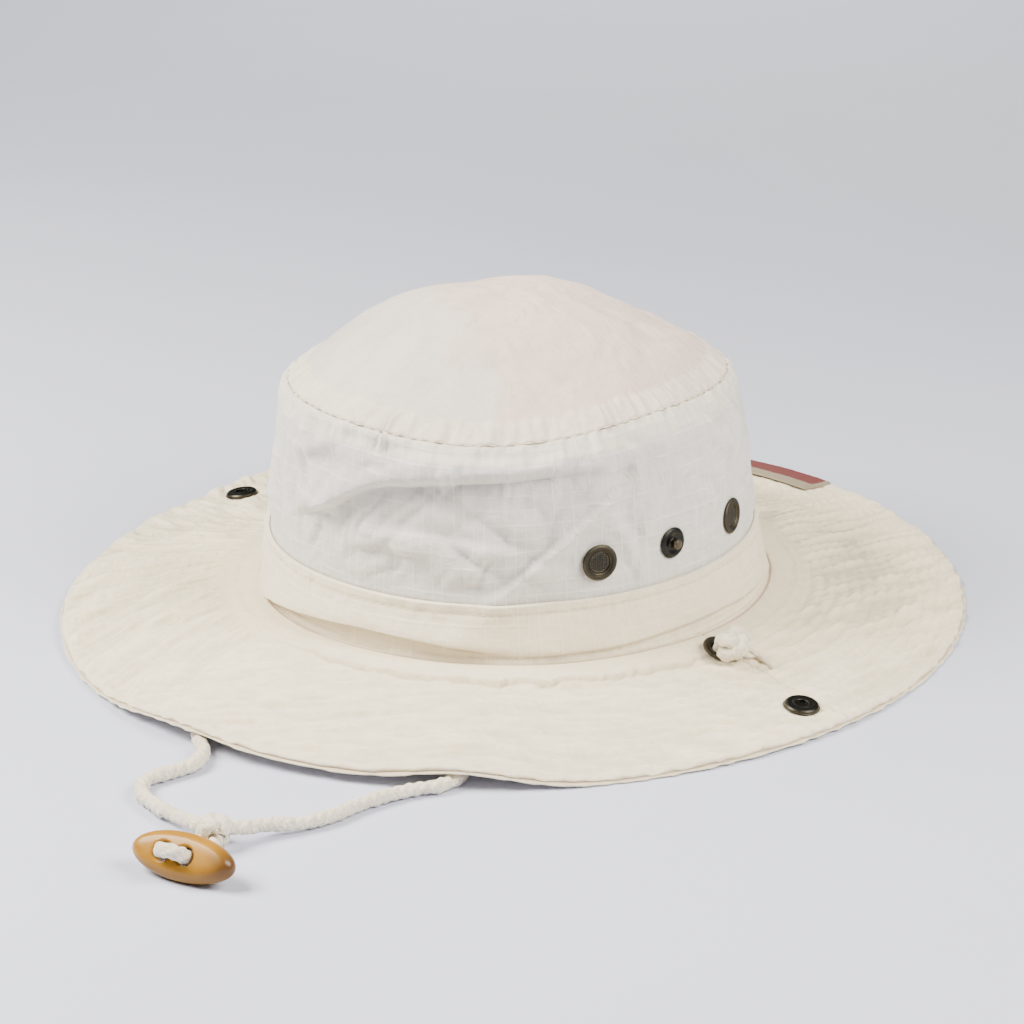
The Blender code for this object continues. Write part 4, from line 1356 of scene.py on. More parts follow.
    def add_hole_walls(self, build: MeshBuilder, outer: Array, inner: Array, keep: Array) -> None:
        """Joins the outside to the inside round each hole, one quad for each edge of the hole.

        Args:
            build: the mesh being gathered.
            outer: point numbers of the outside.
            inner: point numbers of the inside.
            keep: which quads are kept.
        """
        count = keep.shape[1]
        padded = np.pad(keep, ((1, 1), (0, 0)), constant_values=False)
        beside = {
            (0, 1, 1, 1): np.roll(keep, -1, axis=1),
            (1, 0, 0, 0): np.roll(keep, 1, axis=1),
            (1, 1, 1, 0): padded[2:],
            (0, 0, 0, 1): padded[:-2],
        }
        for (row_a, column_a, row_b, column_b), neighbour in beside.items():
            rows, columns = np.nonzero(~keep & neighbour)
            first = (rows + row_a, (columns + column_a) % count)
            second = (rows + row_b, (columns + column_b) % count)
            build.add_faces(np.stack([outer[first], outer[second], inner[second], inner[first]], axis=-1))

    def build_tip(self, finish: Material) -> None:
        """Builds the tip with a real thickness; both sides close in a fan at its middle.

        Args:
            finish: its cloth.
        """
        form = self.form
        theta = ring_angles(self.columns)
        reach = float(form.seam_distance(np.array(form.top_row)))
        edge = np.array([self.half_seam, 0.0004, 0.0007, 0.0011, 0.0016, 0.0022, 0.0030, 0.0040])
        inward = (np.linspace(0.0050, 0.0120, 8), np.linspace(0.0133, reach - 0.0010, self.tip_rows))
        distances = np.concatenate([edge, *inward])
        build = MeshBuilder("crown_tip_cloth", ("seam", "line", "warm", "high"))
        grids = []
        for thick, rows in ((0.0, distances), (form.crown_thick, distances[::5])):
            place = np.broadcast_to(form.row_at_seam_distance(rows)[:, None], (len(rows), self.columns))
            angles = np.broadcast_to(theta, place.shape)
            points = self.tip_outside(angles, place) - form.normals(angles, place) * thick
            masks = self.seam_masks(angles, form.seam_distance(place))
            # Painted shade in the creases' valleys and painted highlight on their ridges.
            masks["high"] = np.clip(0.5 + self.tip_creases(points), 0.0, 1.0)
            grid = build.add_points(points, points[..., :2], warm=self.warm_patch(points), **masks)
            top = points[-1].mean(axis=0, keepdims=True)
            pole = build.add_points(top, top[:, :2], warm=self.warm_patch(top), high=0.5)
            build.add_grid(grid, True, thick > 0.0)
            build.add_fan(grid[-1], int(pole[0]), thick > 0.0)
            grids.append(grid)
        build.add_bridge(grids[1][0], grids[0][0], True, False)
        mount(build.build(finish), "tip_cotton", "crown_tip")

    def warm_patch(self, points: Array) -> Array:
        """Where the tip's cloth is pinker: right of a line that slants back across it, with a soft and
        cloudy border.

        Args:
            points: points of the tip.

        Returns:
            Values from 0 to 1.
        """
        across = (points[..., 0] + points[..., 1]) / math.sqrt(2.0)
        toward = (points[..., 0] - points[..., 1]) / math.sqrt(2.0)
        cloud = lattice_noise(points[..., 0] / 0.018 + 20.0, points[..., 1] / 0.018 + 20.0, 60, 25)
        return ease(across - 0.45 * toward + 0.012 * cloud, -0.052, -0.030)

    def build_seam_thread(self, finish: Material) -> None:
        """Builds the stitches that show in the tip's seam.

        Args:
            finish: the thread.
        """
        form = self.form
        theta = ring_angles(self.columns)
        place = form.row_at_seam_distance(np.full(self.columns, 0.0))
        normal = form.normals(theta, place)
        rim = form.row_at_seam_distance(np.full(self.columns, 0.0008))
        path = self.tip_outside(theta, rim) - form.smooth(theta, rim) + form.smooth(theta, place)
        path = path - normal * self.thread_sink
        build = MeshBuilder("crown_seam_thread")
        style = StitchStyle(length=0.0026, gap=0.0018, radius=0.00027, arch=0.00004)
        style.along(path, normal, build, 41)
        mount(build.build(finish), "tip_cotton")


@dataclass
class HatBand:
    """The band round the wall's foot: a turned top edge, two rows of stitches, and the cloth slumped
    over its own lower part in a fold on the left."""

    form: HatForm
    columns: int = 720
    edge_round: float = 0.0006
    top_stitch: float = 0.0034
    low_stitch: float = 0.0030
    line_width: float = 0.0004
    flare: float = 0.00055
    top_groove: float = 0.00042
    low_groove: float = 0.00030
    stitch_ripple: float = 0.00050
    slow_wave: float = 0.00080
    roll: float = 0.0006
    roll_height: float = 0.0125
    least: float = 0.0004
    slump: Crease = Crease(
        line=(
            (-134.0, -0.010, 0.0012), (-117.0, 0.020, 0.0012), (-104.0, 0.062, 0.0012),
            (-93.0, 0.094, 0.0012), (-80.0, 0.116, 0.0012), (-68.0, 0.108, 0.0014),
            (-56.0, 0.084, 0.0018), (-42.0, 0.060, 0.0026),
        ),
        out=0.0033, into=0.0010, above=0.0060, below=0.0060, fade=16.0,
    )
    lower_roll: Crease = Crease(
        line=(
            (-56.0, 0.060, 0.0026), (-29.0, 0.050, 0.0018), (-21.0, 0.055, 0.0016),
            (-10.0, 0.066, 0.0016), (4.0, 0.070, 0.0016), (24.0, 0.055, 0.0020),
            (48.0, 0.045, 0.0026),
        ),
        out=0.0014, into=0.0004, above=0.0060, below=0.0040, fade=18.0,
    )

    @property
    def top(self) -> float:
        """The band's top as a share of the wall's height."""
        return self.form.band_height / self.form.wall_height

    def push(self, theta: Array, rise: Array) -> Array:
        """How far the band stands out of the smooth wall: its thickness over the wall, a flare at the
        top edge, a groove along each row of stitches, a soft roll between them, and the two folds.

        Args:
            theta: angles in radians.
            rise: shares of the wall's height.

        Returns:
            Distances along the normal.
        """
        form = self.form
        turn = from_turn(theta, 0.0)
        below_top = (self.top - rise) * form.wall_height
        over_foot = rise * form.wall_height
        ripple = lattice_noise(turn / 2.1 + 171.0, over_foot / 0.006, 171, 52)
        slow = lattice_noise(turn / 11.0 + 30.0, over_foot / 0.014, 33, 53)
        shape = self.flare * bell(below_top, 0.0026)
        shape = shape - self.top_groove * bell(below_top - self.top_stitch, 0.0009)
        shape = shape - self.low_groove * bell(over_foot - self.low_stitch, 0.0008)
        shape = shape + self.roll * bell(over_foot - self.roll_height, 0.0050)
        shape = shape + self.slump.push(turn, rise, form.wall_height)
        shape = shape + self.lower_roll.push(turn, rise, form.wall_height)
        near_stitch = bell(below_top - self.top_stitch, 0.0030) + bell(over_foot - self.low_stitch, 0.0022)
        shape = shape + self.stitch_ripple * ripple * near_stitch + self.slow_wave * slow
        edge = np.clip(self.edge_round - below_top, 0.0, self.edge_round)
        turned_in = self.edge_round - np.sqrt(self.edge_round**2 - edge**2)
        return np.maximum(GAP + form.band_thick + shape, GAP + self.least) - turned_in

    def rises(self, theta: Array) -> Array:
        """Shares of the wall's height of the grid's rows, which follow the folds and the stitches.

        Args:
            theta: angles of the columns.

        Returns:
            Shares, rows by columns.
        """
        form = self.form
        turn = from_turn(theta, 0.0)
        left = read_line(self.slump.line, turn)[0]
        right = read_line(self.lower_roll.line, turn)[0]
        share = ease(turn, -62.0, -40.0)
        middle = left * (1.0 - share) + right * share
        near = ease(turn, -170.0, -128.0) * (1.0 - ease(turn, 30.0, 90.0))
        middle = np.maximum(0.07 + (middle - 0.07) * near, 0.036)
        foot, half, stitched, edge = (size / form.wall_height for size in (GAP * 1.5, 0.0009, 0.0056, 0.0008))
        knots = [foot, middle - half, middle + half, self.top - stitched, self.top - edge, self.top]
        return between(knots, (5, 6, 12, 11, 5))

    def outside(self, theta: Array, rise: Array) -> Array:
        """Points of the band's outside.

        Args:
            theta: angles in radians.
            rise: shares of the wall's height.

        Returns:
            Points, last axis x, y, z.
        """
        place = self.form.row_at_rise(rise)
        push = self.push(theta, rise) + self.form.fold_push(theta, place)
        return self.form.smooth(theta, place) + self.form.normals(theta, place) * push[..., None]

    def fold_shade(self, theta: Array, rise: Array) -> Array:
        """A thin line of painted shade in the bottom of each fold.

        Args:
            theta: angles in radians.
            rise: shares of the wall's height.

        Returns:
            Values from 0 to 1.
        """
        turn = from_turn(theta, 0.0)
        total = np.zeros(rise.shape)
        for fold, most in ((self.slump, 0.55), (self.lower_roll, 0.25)):
            middle, step = read_line(fold.line, turn)
            over = (rise - middle) * self.form.wall_height + step / 2.0
            total = total + most * fold.strength(turn) * bell(over, 0.0006)
        return total

    def build(self, finish: Material) -> None:
        """Builds the band as a closed ring of cloth.

        Args:
            finish: its cloth.
        """
        form = self.form
        theta = ring_angles(self.columns)
        rise = self.rises(theta)
        angles = np.broadcast_to(theta, rise.shape)
        outer = self.outside(angles, rise)
        under = np.stack([rise[0], rise[0] * 0.5 + self.top * 0.5, rise[-1]])
        spread = np.broadcast_to(theta, under.shape)
        place = form.row_at_rise(under)
        gap = GAP + form.fold_push(spread, place)
        inner = form.smooth(spread, place) + form.normals(spread, place) * gap[..., None]
        build = MeshBuilder("hat_band_cloth", ("line",))
        below_top = (self.top - rise) * form.wall_height
        over_foot = rise * form.wall_height
        # Painted shade along the two rows of stitches and in the folds, and at the band's foot painted shade
        # with dirt.
        line = 0.26 * bell(below_top - self.top_stitch, self.line_width)
        line = line + 0.24 * bell(over_foot - self.low_stitch, self.line_width)
        line = line + bell(over_foot, 0.00055) + self.fold_shade(angles, rise)
        around = theta * form.foot_half_x
        uv = np.stack([np.broadcast_to(around, rise.shape), rise * form.wall_height], axis=-1)
        inner_uv = np.stack([np.broadcast_to(around, under.shape), under * form.wall_height], axis=-1)
        outside = build.add_points(outer, uv, line=np.clip(line, 0.0, 1.0))
        inside = build.add_points(inner, inner_uv)
        build.add_shell(outside, inside, period=2.0 * math.pi * form.foot_half_x)
        mount(build.build(finish), "band_cotton", "hat_band")

    def build_thread(self, finish: Material) -> None:
        """Builds the rows of stitches along the band's top and foot.

        Args:
            finish: the thread.
        """
        theta = ring_angles(self.columns)
        build = MeshBuilder("hat_band_thread")
        style = StitchStyle(length=0.0023, gap=0.0012, radius=0.00023)
        heights = (self.form.band_height - self.top_stitch, self.low_stitch)
        for seed, height in enumerate(heights):
            rise = np.full(self.columns, height / self.form.wall_height)
            normal = self.form.normals(theta, self.form.row_at_rise(rise))
            style.along(self.outside(theta, rise) + normal * 0.00008, normal, build, 60 + seed)
        mount(build.build(finish), "band_cotton")


@dataclass
class Brim:
    """The brim: a front and a back half, each a closed body, with a raised seam round the crown, rows
    of quilting stitches, puckers and a turned hem over a lower ply that shows at the edge."""

    form: HatForm
    plan: FittingPlan
    columns: int = 840
    quilt_rows: int = 11
    ring_width: float = 0.0122
    quilt_start: float = 0.0040
    ring_stitch: float = 0.0034
    hem: float = 0.0064
    hem_stitch: float = 0.0024
    lower_ply: float = 0.0010
    pucker: float = 0.00170
    level_dip: float = 0.0006
    deepest_dip: float = 0.0008
    label_turn: float = 100.3
    label_half: float = 15.0
    groove: float = 0.00085
    join_angle: float = 0.0004
    hole_radius: float = 0.0039
    rim_start: float = 0.0022
    under_start: float = 0.0008
    under_shares: tuple[float, ...] = (0.97, 0.93, 0.86, 0.78, 0.68, 0.56, 0.44, 0.32, 0.20, 0.10, 0.0)
    calm_near: float = 0.0062
    calm_far: float = 0.0110
    unstitched: float = 0.0074
    thread_lift: float = 0.00003
    thread_sink: float = 0.00008
    grain_cell: tuple[float, float] = (0.0029, 0.022)
    fine_grain_cell: tuple[float, float] = (0.0017, 0.013)
    streak_cell: tuple[float, float] = (0.0024, 0.012)
    fine_streak_cell: tuple[float, float] = (0.0015, 0.006)
    quilt_turn: float = 30.0
    quilt_spread: float = 34.0
    ring_soft: float = 0.00055
    ring_crisp: float = 0.00105
    ring_lip: float = 0.00045
    ring_groove: float = 0.00030
    foot_groove: float = 0.00085
    quilt_swell: float = 0.00016
    broad_wave: float = 0.00070
    gathers: float = 0.0011
    hem_ripple: float = 0.00030
    hem_rise: float = 0.00030
    join_groove: float = 0.00050
    groove_width: float = 0.0011

    @cached_property
    def seats(self) -> list[Seat]:
        """The seats of the fittings on the brim."""
        return [*self.plan.eyelets(self.form).values(), *self.plan.sockets(self.form).values()]

    def front_right(self, theta: Array) -> Array:
        """How much of the front right each angle is: there the raised seam is crisp and the rest flat."""
        turn = from_turn(theta, -45.0)
        return 1.0 - ease(np.abs(turn), 28.0, 62.0)

    def ring_edge(self, theta: Array) -> Array:
        """Distance from the hole to the raised seam's outer edge, ragged where it is crisp."""
        turn = np.degrees(theta) + 180.0
        ragged = lattice_noise(turn / 3.0, 0.3, 120, 71) + 0.6 * lattice_noise(turn / 1.2, 4.3, 300, 72)
        ragged = 0.0018 * ragged * (0.25 + 0.75 * self.front_right(theta))
        return self.form.ring_begin + self.ring_width + ragged

    def quilt_span(self, theta: Array) -> tuple[float, Array]:
        """Distances from the hole of the first quilting row and of the hem."""
        return self.form.ring_begin + self.ring_width + self.quilt_start, self.form.width(theta) - self.hem

    def quilt_place(self, theta: Array, distance: Array) -> Array:
        """Where a distance lies between the quilting rows, counted in rows."""
        start, end = self.quilt_span(theta)
        return (distance - start) / (end - start) * self.quilt_rows

    def quilt_distance(self, theta: Array, row: float) -> Array:
        """Distance from the hole of a quilting row."""
        start, end = self.quilt_span(theta)
        return start + (end - start) * row / self.quilt_rows

    def relief(self, theta: Array, distance: Array) -> Array:
        """Height of the cloth's top over the brim's plain thickness: the raised seam's step, a groove
        along each row of stitches, puckers, gathers at the raised seam's edge, and the hem. Dips past a
        level are held back by a hyperbolic tangent.

        Args:
            theta: angles in radians.
            distance: distances out from the hole.

        Returns:
            Heights.
        """
        theta, distance = np.broadcast_arrays(theta, distance)
        form = self.form
        width = form.width(theta)
        crisp = self.front_right(theta)
        edge = self.ring_edge(theta)
        slope = 0.0005 + 0.0015 * (1.0 - crisp)
        shown_crisp = 0.2 + 0.8 * crisp
        ring = (self.ring_soft + self.ring_crisp * crisp) * (1.0 - ease(distance, edge - slope, edge + slope))
        ring = ring + self.ring_lip * bell(distance - edge + 0.0012, 0.0010) * shown_crisp
        ring = ring - self.ring_groove * bell(distance - edge + self.ring_stitch, 0.0007)
        ring = ring - self.foot_groove * bell(distance - form.ring_begin - 0.0002, 0.0005)
        place = self.quilt_place(theta, distance)
        pitch = (width - self.hem) / (self.quilt_rows + 4.0)
        off_row = (place - np.round(place)) * pitch
        inside = ease(place, -0.4, -0.1) * (1.0 - ease(place, self.quilt_rows + 0.1, self.quilt_rows + 0.4))
        shown = 0.20 + 0.20 * self.right_side(theta) + 0.75 * self.most_quilted(theta)
        quilt = (self.quilt_swell - self.groove * shown * bell(off_row, self.groove_width)) * inside
        turn = np.degrees(theta) + 180.0
        grow = self.growth(theta, distance)
        gather = lattice_noise(turn / 2.0, 5.5, 180, 77) * bell(distance - edge - 0.0014, 0.0016)
        broad = lattice_noise(turn / 9.0, distance / 0.030 + 5.1, 40, 75)
        fine = self.puckers(theta, distance)
        ripple = self.hem_ripple * lattice_noise(turn / 1.2, 2.4, 300, 76)
        ripple = ripple * ease(place, self.quilt_rows - 0.2, self.quilt_rows + 0.3)
        hem = self.hem_rise * ease(distance, width - self.hem + 0.0002, width - self.hem + 0.0016)
        join = -self.join_groove * bell(np.sin(theta) * (form.hole(theta) + distance), 0.0008)
        mine = ring + quilt + self.pucker * fine + self.broad_wave * broad * grow
        mine = mine + self.gathers * gather * shown_crisp + ripple + hem + join
        deep = np.maximum(-self.level_dip - mine, 0.0)
        mine = mine + deep - self.deepest_dip * np.tanh(deep / self.deepest_dip)
        calm = self.fitting_calm(theta, distance)
        return form.ring_height(distance) * (1.0 - calm) + mine * calm

    def growth(self, theta: Array, distance: Array) -> Array:
        """How strong the puckers are: they start at the raised seam and grow outwards, and are weaker on
        the hem and at the front right, and nearly flat under the label.

        Args:
            theta: angles in radians.
            distance: distances out from the hole.

        Returns:
            Shares from 0 to 1.
        """
        edge = self.ring_edge(theta)
        width = self.form.width(theta)
        grow = (0.45 + 0.55 * distance / width) * ease(distance, edge, edge + 0.006)
        off_label = np.abs(from_turn(theta, self.label_turn))
        labelled = 1.0 - ease(off_label, self.label_half, self.label_half + 3.0)
        labelled = labelled * ease(distance, width - 0.022, width - 0.018)
        grow = grow * (1.0 - 0.6 * ease(distance, width - 0.006, width - 0.003))
        return grow * (1.0 - 0.45 * self.front_right(theta)) * (1.0 - 0.85 * labelled)

    def puckers(self, theta: Array, distance: Array) -> Array:
        """Puckers in three fields that fade into each other, each of two sizes of noise: on the right
        and at the back they follow the cloth's grain, at the front right they run along the edge, and
        on the left they lean outwards.

        Args:
            theta: angles in radians.
            distance: distances out from the hole.

        Returns:
            Heights as shares of the largest pucker's.
        """
        flat = self.form.brim(theta, distance, 0.0)
        x, y = flat[..., 0], flat[..., 1]
        sway = 0.35 * lattice_noise(x / 0.024 + 40.0, y / 0.024 + 40.0, 80, 72)
        side, length = self.grain_cell
        grain = 1.25 * lattice_noise(x / side + sway + 120.0, y / length + 40.0, 240, 73)
        side, length = self.fine_grain_cell
        grain = grain + 0.65 * lattice_noise(x / side + sway + 160.0, y / length + 60.0, 320, 74)
        across, ahead = (y - x) / math.sqrt(2.0), (x + y) / math.sqrt(2.0)
        side, length = self.streak_cell
        streaks = 1.2 * lattice_noise(across / side + sway + 120.0, ahead / length + 40.0, 240, 75)
        side, length = self.fine_streak_cell
        streaks = streaks + 0.7 * lattice_noise(across / side + sway + 200.0, ahead / length + 60.0, 400, 76)
        turn = self.slanted_turn(theta, distance) + sway
        leaning = lattice_noise(turn / 1.2, distance / 0.014 + 1.2, 300, 79)
        leaning = leaning + 0.8 * lattice_noise(turn / 0.75, distance / 0.010 + 3.7, 480, 80)
        right = 1.0 - ease(np.abs(from_turn(theta, 75.0)), 55.0, 85.0)
        front = (1.0 - ease(np.abs(from_turn(theta, -45.0)), 38.0, 66.0)) * (1.0 - right)
        mixed = right * grain + front * streaks + (1.0 - right - front) * leaning
        return mixed * self.growth(theta, distance)

    def right_side(self, theta: Array) -> Array:
        """How much of the right side and the back each angle is: there the quilting shows more."""
        return 1.0 - ease(np.abs(from_turn(theta, 45.0)), 60.0, 100.0)

    def most_quilted(self, theta: Array) -> Array:
        """A bell curve of the angle round the place where the quilting shows most."""
        return bell(from_turn(theta, self.quilt_turn), self.quilt_spread)

    def slanted_turn(self, theta: Array, distance: Array) -> Array:
        """Turns in degrees that follow the left's puckers, which lean one way in front, one behind."""
        lean = 0.45 - 0.80 * (1.0 - ease(from_turn(theta, -150.0), -22.0, 22.0))
        return np.degrees(theta) + 180.0 - np.degrees(lean / 0.13) * (distance - 0.04)

    def fitting_calm(self, theta: Array, distance: Array) -> Array:
        """How far each place is from the brim's fittings: 0 under them and 1 well clear."""
        flat = self.form.brim(theta, distance, self.form.brim_thick)
        calm = np.ones(theta.shape)
        for seat in self.seats:
            away = np.linalg.norm((flat - seat.point)[..., :2], axis=-1)
            calm = calm * ease(away, self.calm_near, self.calm_far)
        return calm

    def top(self, theta: Array, distance: Array) -> Array:
        """Points on the brim's top."""
        return self.form.brim(theta, distance, self.form.brim_thick + self.relief(theta, distance))

    def section_rows(self, theta: Array) -> Array:
        """Distances of the top's rows, which follow the raised seam's edge and every row of stitches.

        Args:
            theta: angles of the columns.

        Returns:
            Distances from the hole, rows by columns.
        """
        ring = self.ring_edge(theta)
        begin = self.form.ring_begin
        knots = [0.0, begin - 0.0006, begin + 0.0012, ring - 0.0042, ring - 0.0022, ring + 0.0012]
        counts = [1, 6, 2, 3, 7]
        for row in range(self.quilt_rows + 1):
            middle = self.quilt_distance(theta, float(row))
            knots.extend([middle - 0.0009, middle + 0.0009])
            counts.extend([3, 2])
        return between([*knots, self.form.width(theta) - self.rim_start], (*counts, 5))

    def rim_points(self, theta: Array) -> Array:
        """The edge's section: the turned hem, and under it the lower ply, each with its own frill.

        Args:
            theta: angles of the columns.

        Returns:
            Points, rows from the top to the underside by columns.
        """
        form = self.form
        width = form.width(theta)
        frill = 0.00060 * lattice_noise((np.degrees(theta) + 180.0) / 1.2, 7.7, 300, 77)
        level = self.relief(theta, width - self.rim_start)
        upper = width - self.lower_ply + frill
        thick = form.brim_thick
        rim = (
            (upper - 0.0006, thick + level - 0.00004),
            (upper - 0.0002, thick + level - 0.00025),
            (upper, thick + level - 0.00070),
            (upper - 0.0001, 0.0012 + level * 0.2),
            (upper - 0.0004, 0.00088),
            (width - 0.0005 - frill, 0.00086),
            (width - 0.0001 - frill, 0.00066),
            (width - frill, 0.00040),
            (width - 0.0002 - frill, 0.00012),
            (width - self.under_start, 0.0),
        )
        return np.stack([form.brim(theta, distance, above) for distance, above in rim])

    def build_half(self, name: str, start: float, finish: Material) -> None:
        """Builds half of the brim as one closed body.

        Args:
            name: the piece's name.
            start: the angle where it begins, in radians.
            finish: its cloth.
        """
        form = self.form
        theta = np.linspace(start + self.join_angle, start + math.pi - self.join_angle, self.columns + 1)
        rows = self.section_rows(theta)
        angles = np.broadcast_to(theta, rows.shape)
        top = self.top(angles, rows)
        edge = self.rim_points(theta)
        reach = (form.width(theta) - self.under_start) * np.array(self.under_shares)[:, None]
        under = form.brim(theta, reach, 0.0)
        loop = np.concatenate([top, edge, under])
        loop[..., 2] = np.maximum(loop[..., 2], 0.0)
        place = self.quilt_place(angles, rows)
        # Painted shade along the quilting rows and just outside the raised seam's edge, and at its foot
        # painted shade with dirt.
        line = bell((place - np.round(place)) * 0.005, 0.0007) * ease(place, -0.2, 0.0)
        ring = self.ring_edge(theta)
        painted_edge_shade = bell(rows - ring - 0.0006, 0.0006) * (0.06 + 0.42 * self.front_right(theta))
        foot_shade_and_dirt = bell(rows - form.ring_begin - 0.0001, 0.00042)
        join = 0.30 * bell(top[..., 1], 0.0004) * ease(rows, ring, ring + 0.002)
        painted_row_shade = (0.05 + 0.13 * self.most_quilted(theta)) * line
        line = np.clip(painted_row_shade + painted_edge_shade + foot_shade_and_dirt + join, 0.0, 1.0)
        rest = ((0, len(edge) + len(under)), (0, 0))
        # Painted shade in the puckers' valleys and painted highlight on their ridges.
        painted_pucker_shade = np.clip(0.5 + self.puckers(angles, rows), 0.0, 1.0)
        masks = {"line": np.pad(line, rest), "high": np.pad(painted_pucker_shade, rest, constant_values=0.5)}
        # Painted shade in the gap between the turned hem and the lower ply.
        masks["line"][len(rows) + 3 : len(rows) + 6] = 0.45
        build = MeshBuilder(name, tuple(masks))
        build.add_bar(loop, loop[..., :2], **masks)
        piece = build.build(finish, sharp=70.0)
        if start < 0.0:
            for seat in self.plan.eyelets(form).values():
                bore_through(piece, seat, self.hole_radius, 0.008)
        mount(piece, "brim_cotton", "brim")

    def build_thread(self, finish: Material) -> None:
        """Builds the quilting stitches, the raised seam's and the hem's.

        Args:
            finish: the thread.
        """
        theta = ring_angles(self.columns * 2)
        build = MeshBuilder("brim_thread")
        style = StitchStyle(length=0.0024, gap=0.0010, radius=0.00014, arch=0.00008, stations=3, sides=4)
        rows = [self.ring_edge(theta) - self.ring_stitch]
        rows.extend(self.quilt_distance(theta, float(row)) for row in range(self.quilt_rows + 1))
        rows.append(self.form.width(theta) - self.hem_stitch)
        for seed, distance in enumerate(rows):
            path = self.top(theta, distance)
            around = np.roll(path, -1, axis=0) - np.roll(path, 1, axis=0)
            out = self.top(theta, distance + 0.0012) - self.top(theta, distance - 0.0012)
            normal = unit(np.cross(out, around))
            lift = (self.thread_lift * self.right_side(theta) - self.thread_sink)[:, None]
            style.along(path + normal * lift, normal, build, 90 + seed, self.clear_of_fittings(path))
        mount(build.build(finish), "brim_cotton")

    def clear_of_fittings(self, path: Array) -> Array:
        """Which points of a path lie clear of the fittings on the brim."""
        clear = np.ones(len(path), dtype=bool)
        for seat in self.seats:
            clear &= np.linalg.norm(path - seat.point, axis=-1) > self.unstitched
        return clear


@dataclass
class Label:
    """The woven strip sewn along the brim's edge, left bare, with a border of another colour."""

    brim: Brim
    length: float = 0.0800
    width: float = 0.0165
    thick: float = 0.0006
    inset: float = 0.0012
    edge_round: float = 0.0005
    pucker: float = 0.00014
    seam_depth: float = 0.00018
    seam_inset: float = 0.0014
    clearance: float = 0.00045
    columns: int = 240
    across: int = 30

    def build(self, finish: Material) -> None:
        """Builds the strip as a thin plate that follows the brim's top.

        Args:
            finish: its weave.
        """
        form = self.brim.form
        middle = math.radians(self.brim.label_turn)
        half = self.length / 2.0 / (float(form.edge(np.array([middle]))[0]) - self.inset)
        theta = np.linspace(middle - half, middle + half, self.columns)
        share = np.linspace(0.0, 1.0, self.across)[:, None]
        angles = np.broadcast_to(theta, (self.across, self.columns))
        distance = form.width(angles) - self.inset - self.width * (1.0 - share)
        along = np.abs(np.linspace(-1.0, 1.0, self.columns)) * self.length / 2.0
        side = np.minimum(share, 1.0 - share) * self.width
        rim = np.minimum(side, (self.length / 2.0 - along)[None, :])
        flat = np.clip(rim / self.edge_round, 0.0, 1.0)
        rounded = self.thick * np.sqrt(np.clip(1.0 - (1.0 - flat) ** 2, 0.0, 1.0))
        turn = np.degrees(theta) + 180.0
        pucker = self.pucker * lattice_noise(turn / 0.7 + share, share * 3.0 + 0.2, 520, 81)
        sewn = -self.seam_depth * bell(rim - self.seam_inset, self.edge_round)
        lift = form.brim_thick + GAP * 1.5 + rounded + (pucker + sewn) * np.clip(rim / 0.0008, 0.0, 1.0)
        top = form.brim(angles, distance, lift + self.clearance)
        bottom = form.brim(angles[::-3], distance[::-3], form.brim_thick + GAP)
        loop = np.concatenate([top, bottom])
        v = np.concatenate([np.broadcast_to(share * self.width, angles.shape), distance[::-3] * 0.0])
        u = np.broadcast_to(np.linspace(0.0, self.length, self.columns), v.shape)
        inner = 1.0 - ease(v, self.width * 0.40, self.width * 0.44)
        border = ease(np.abs(u - self.length / 2.0), self.length / 2.0 - 0.0022, self.length / 2.0 - 0.0018)
        build = MeshBuilder("brim_label_weave", ("seam", "line"))
        build.add_bar(loop, np.stack([u, v], axis=-1), seam=np.maximum(inner, border))
        mount(build.build(finish, sharp=50.0), "label_weave", "brim_label")


# Fittings


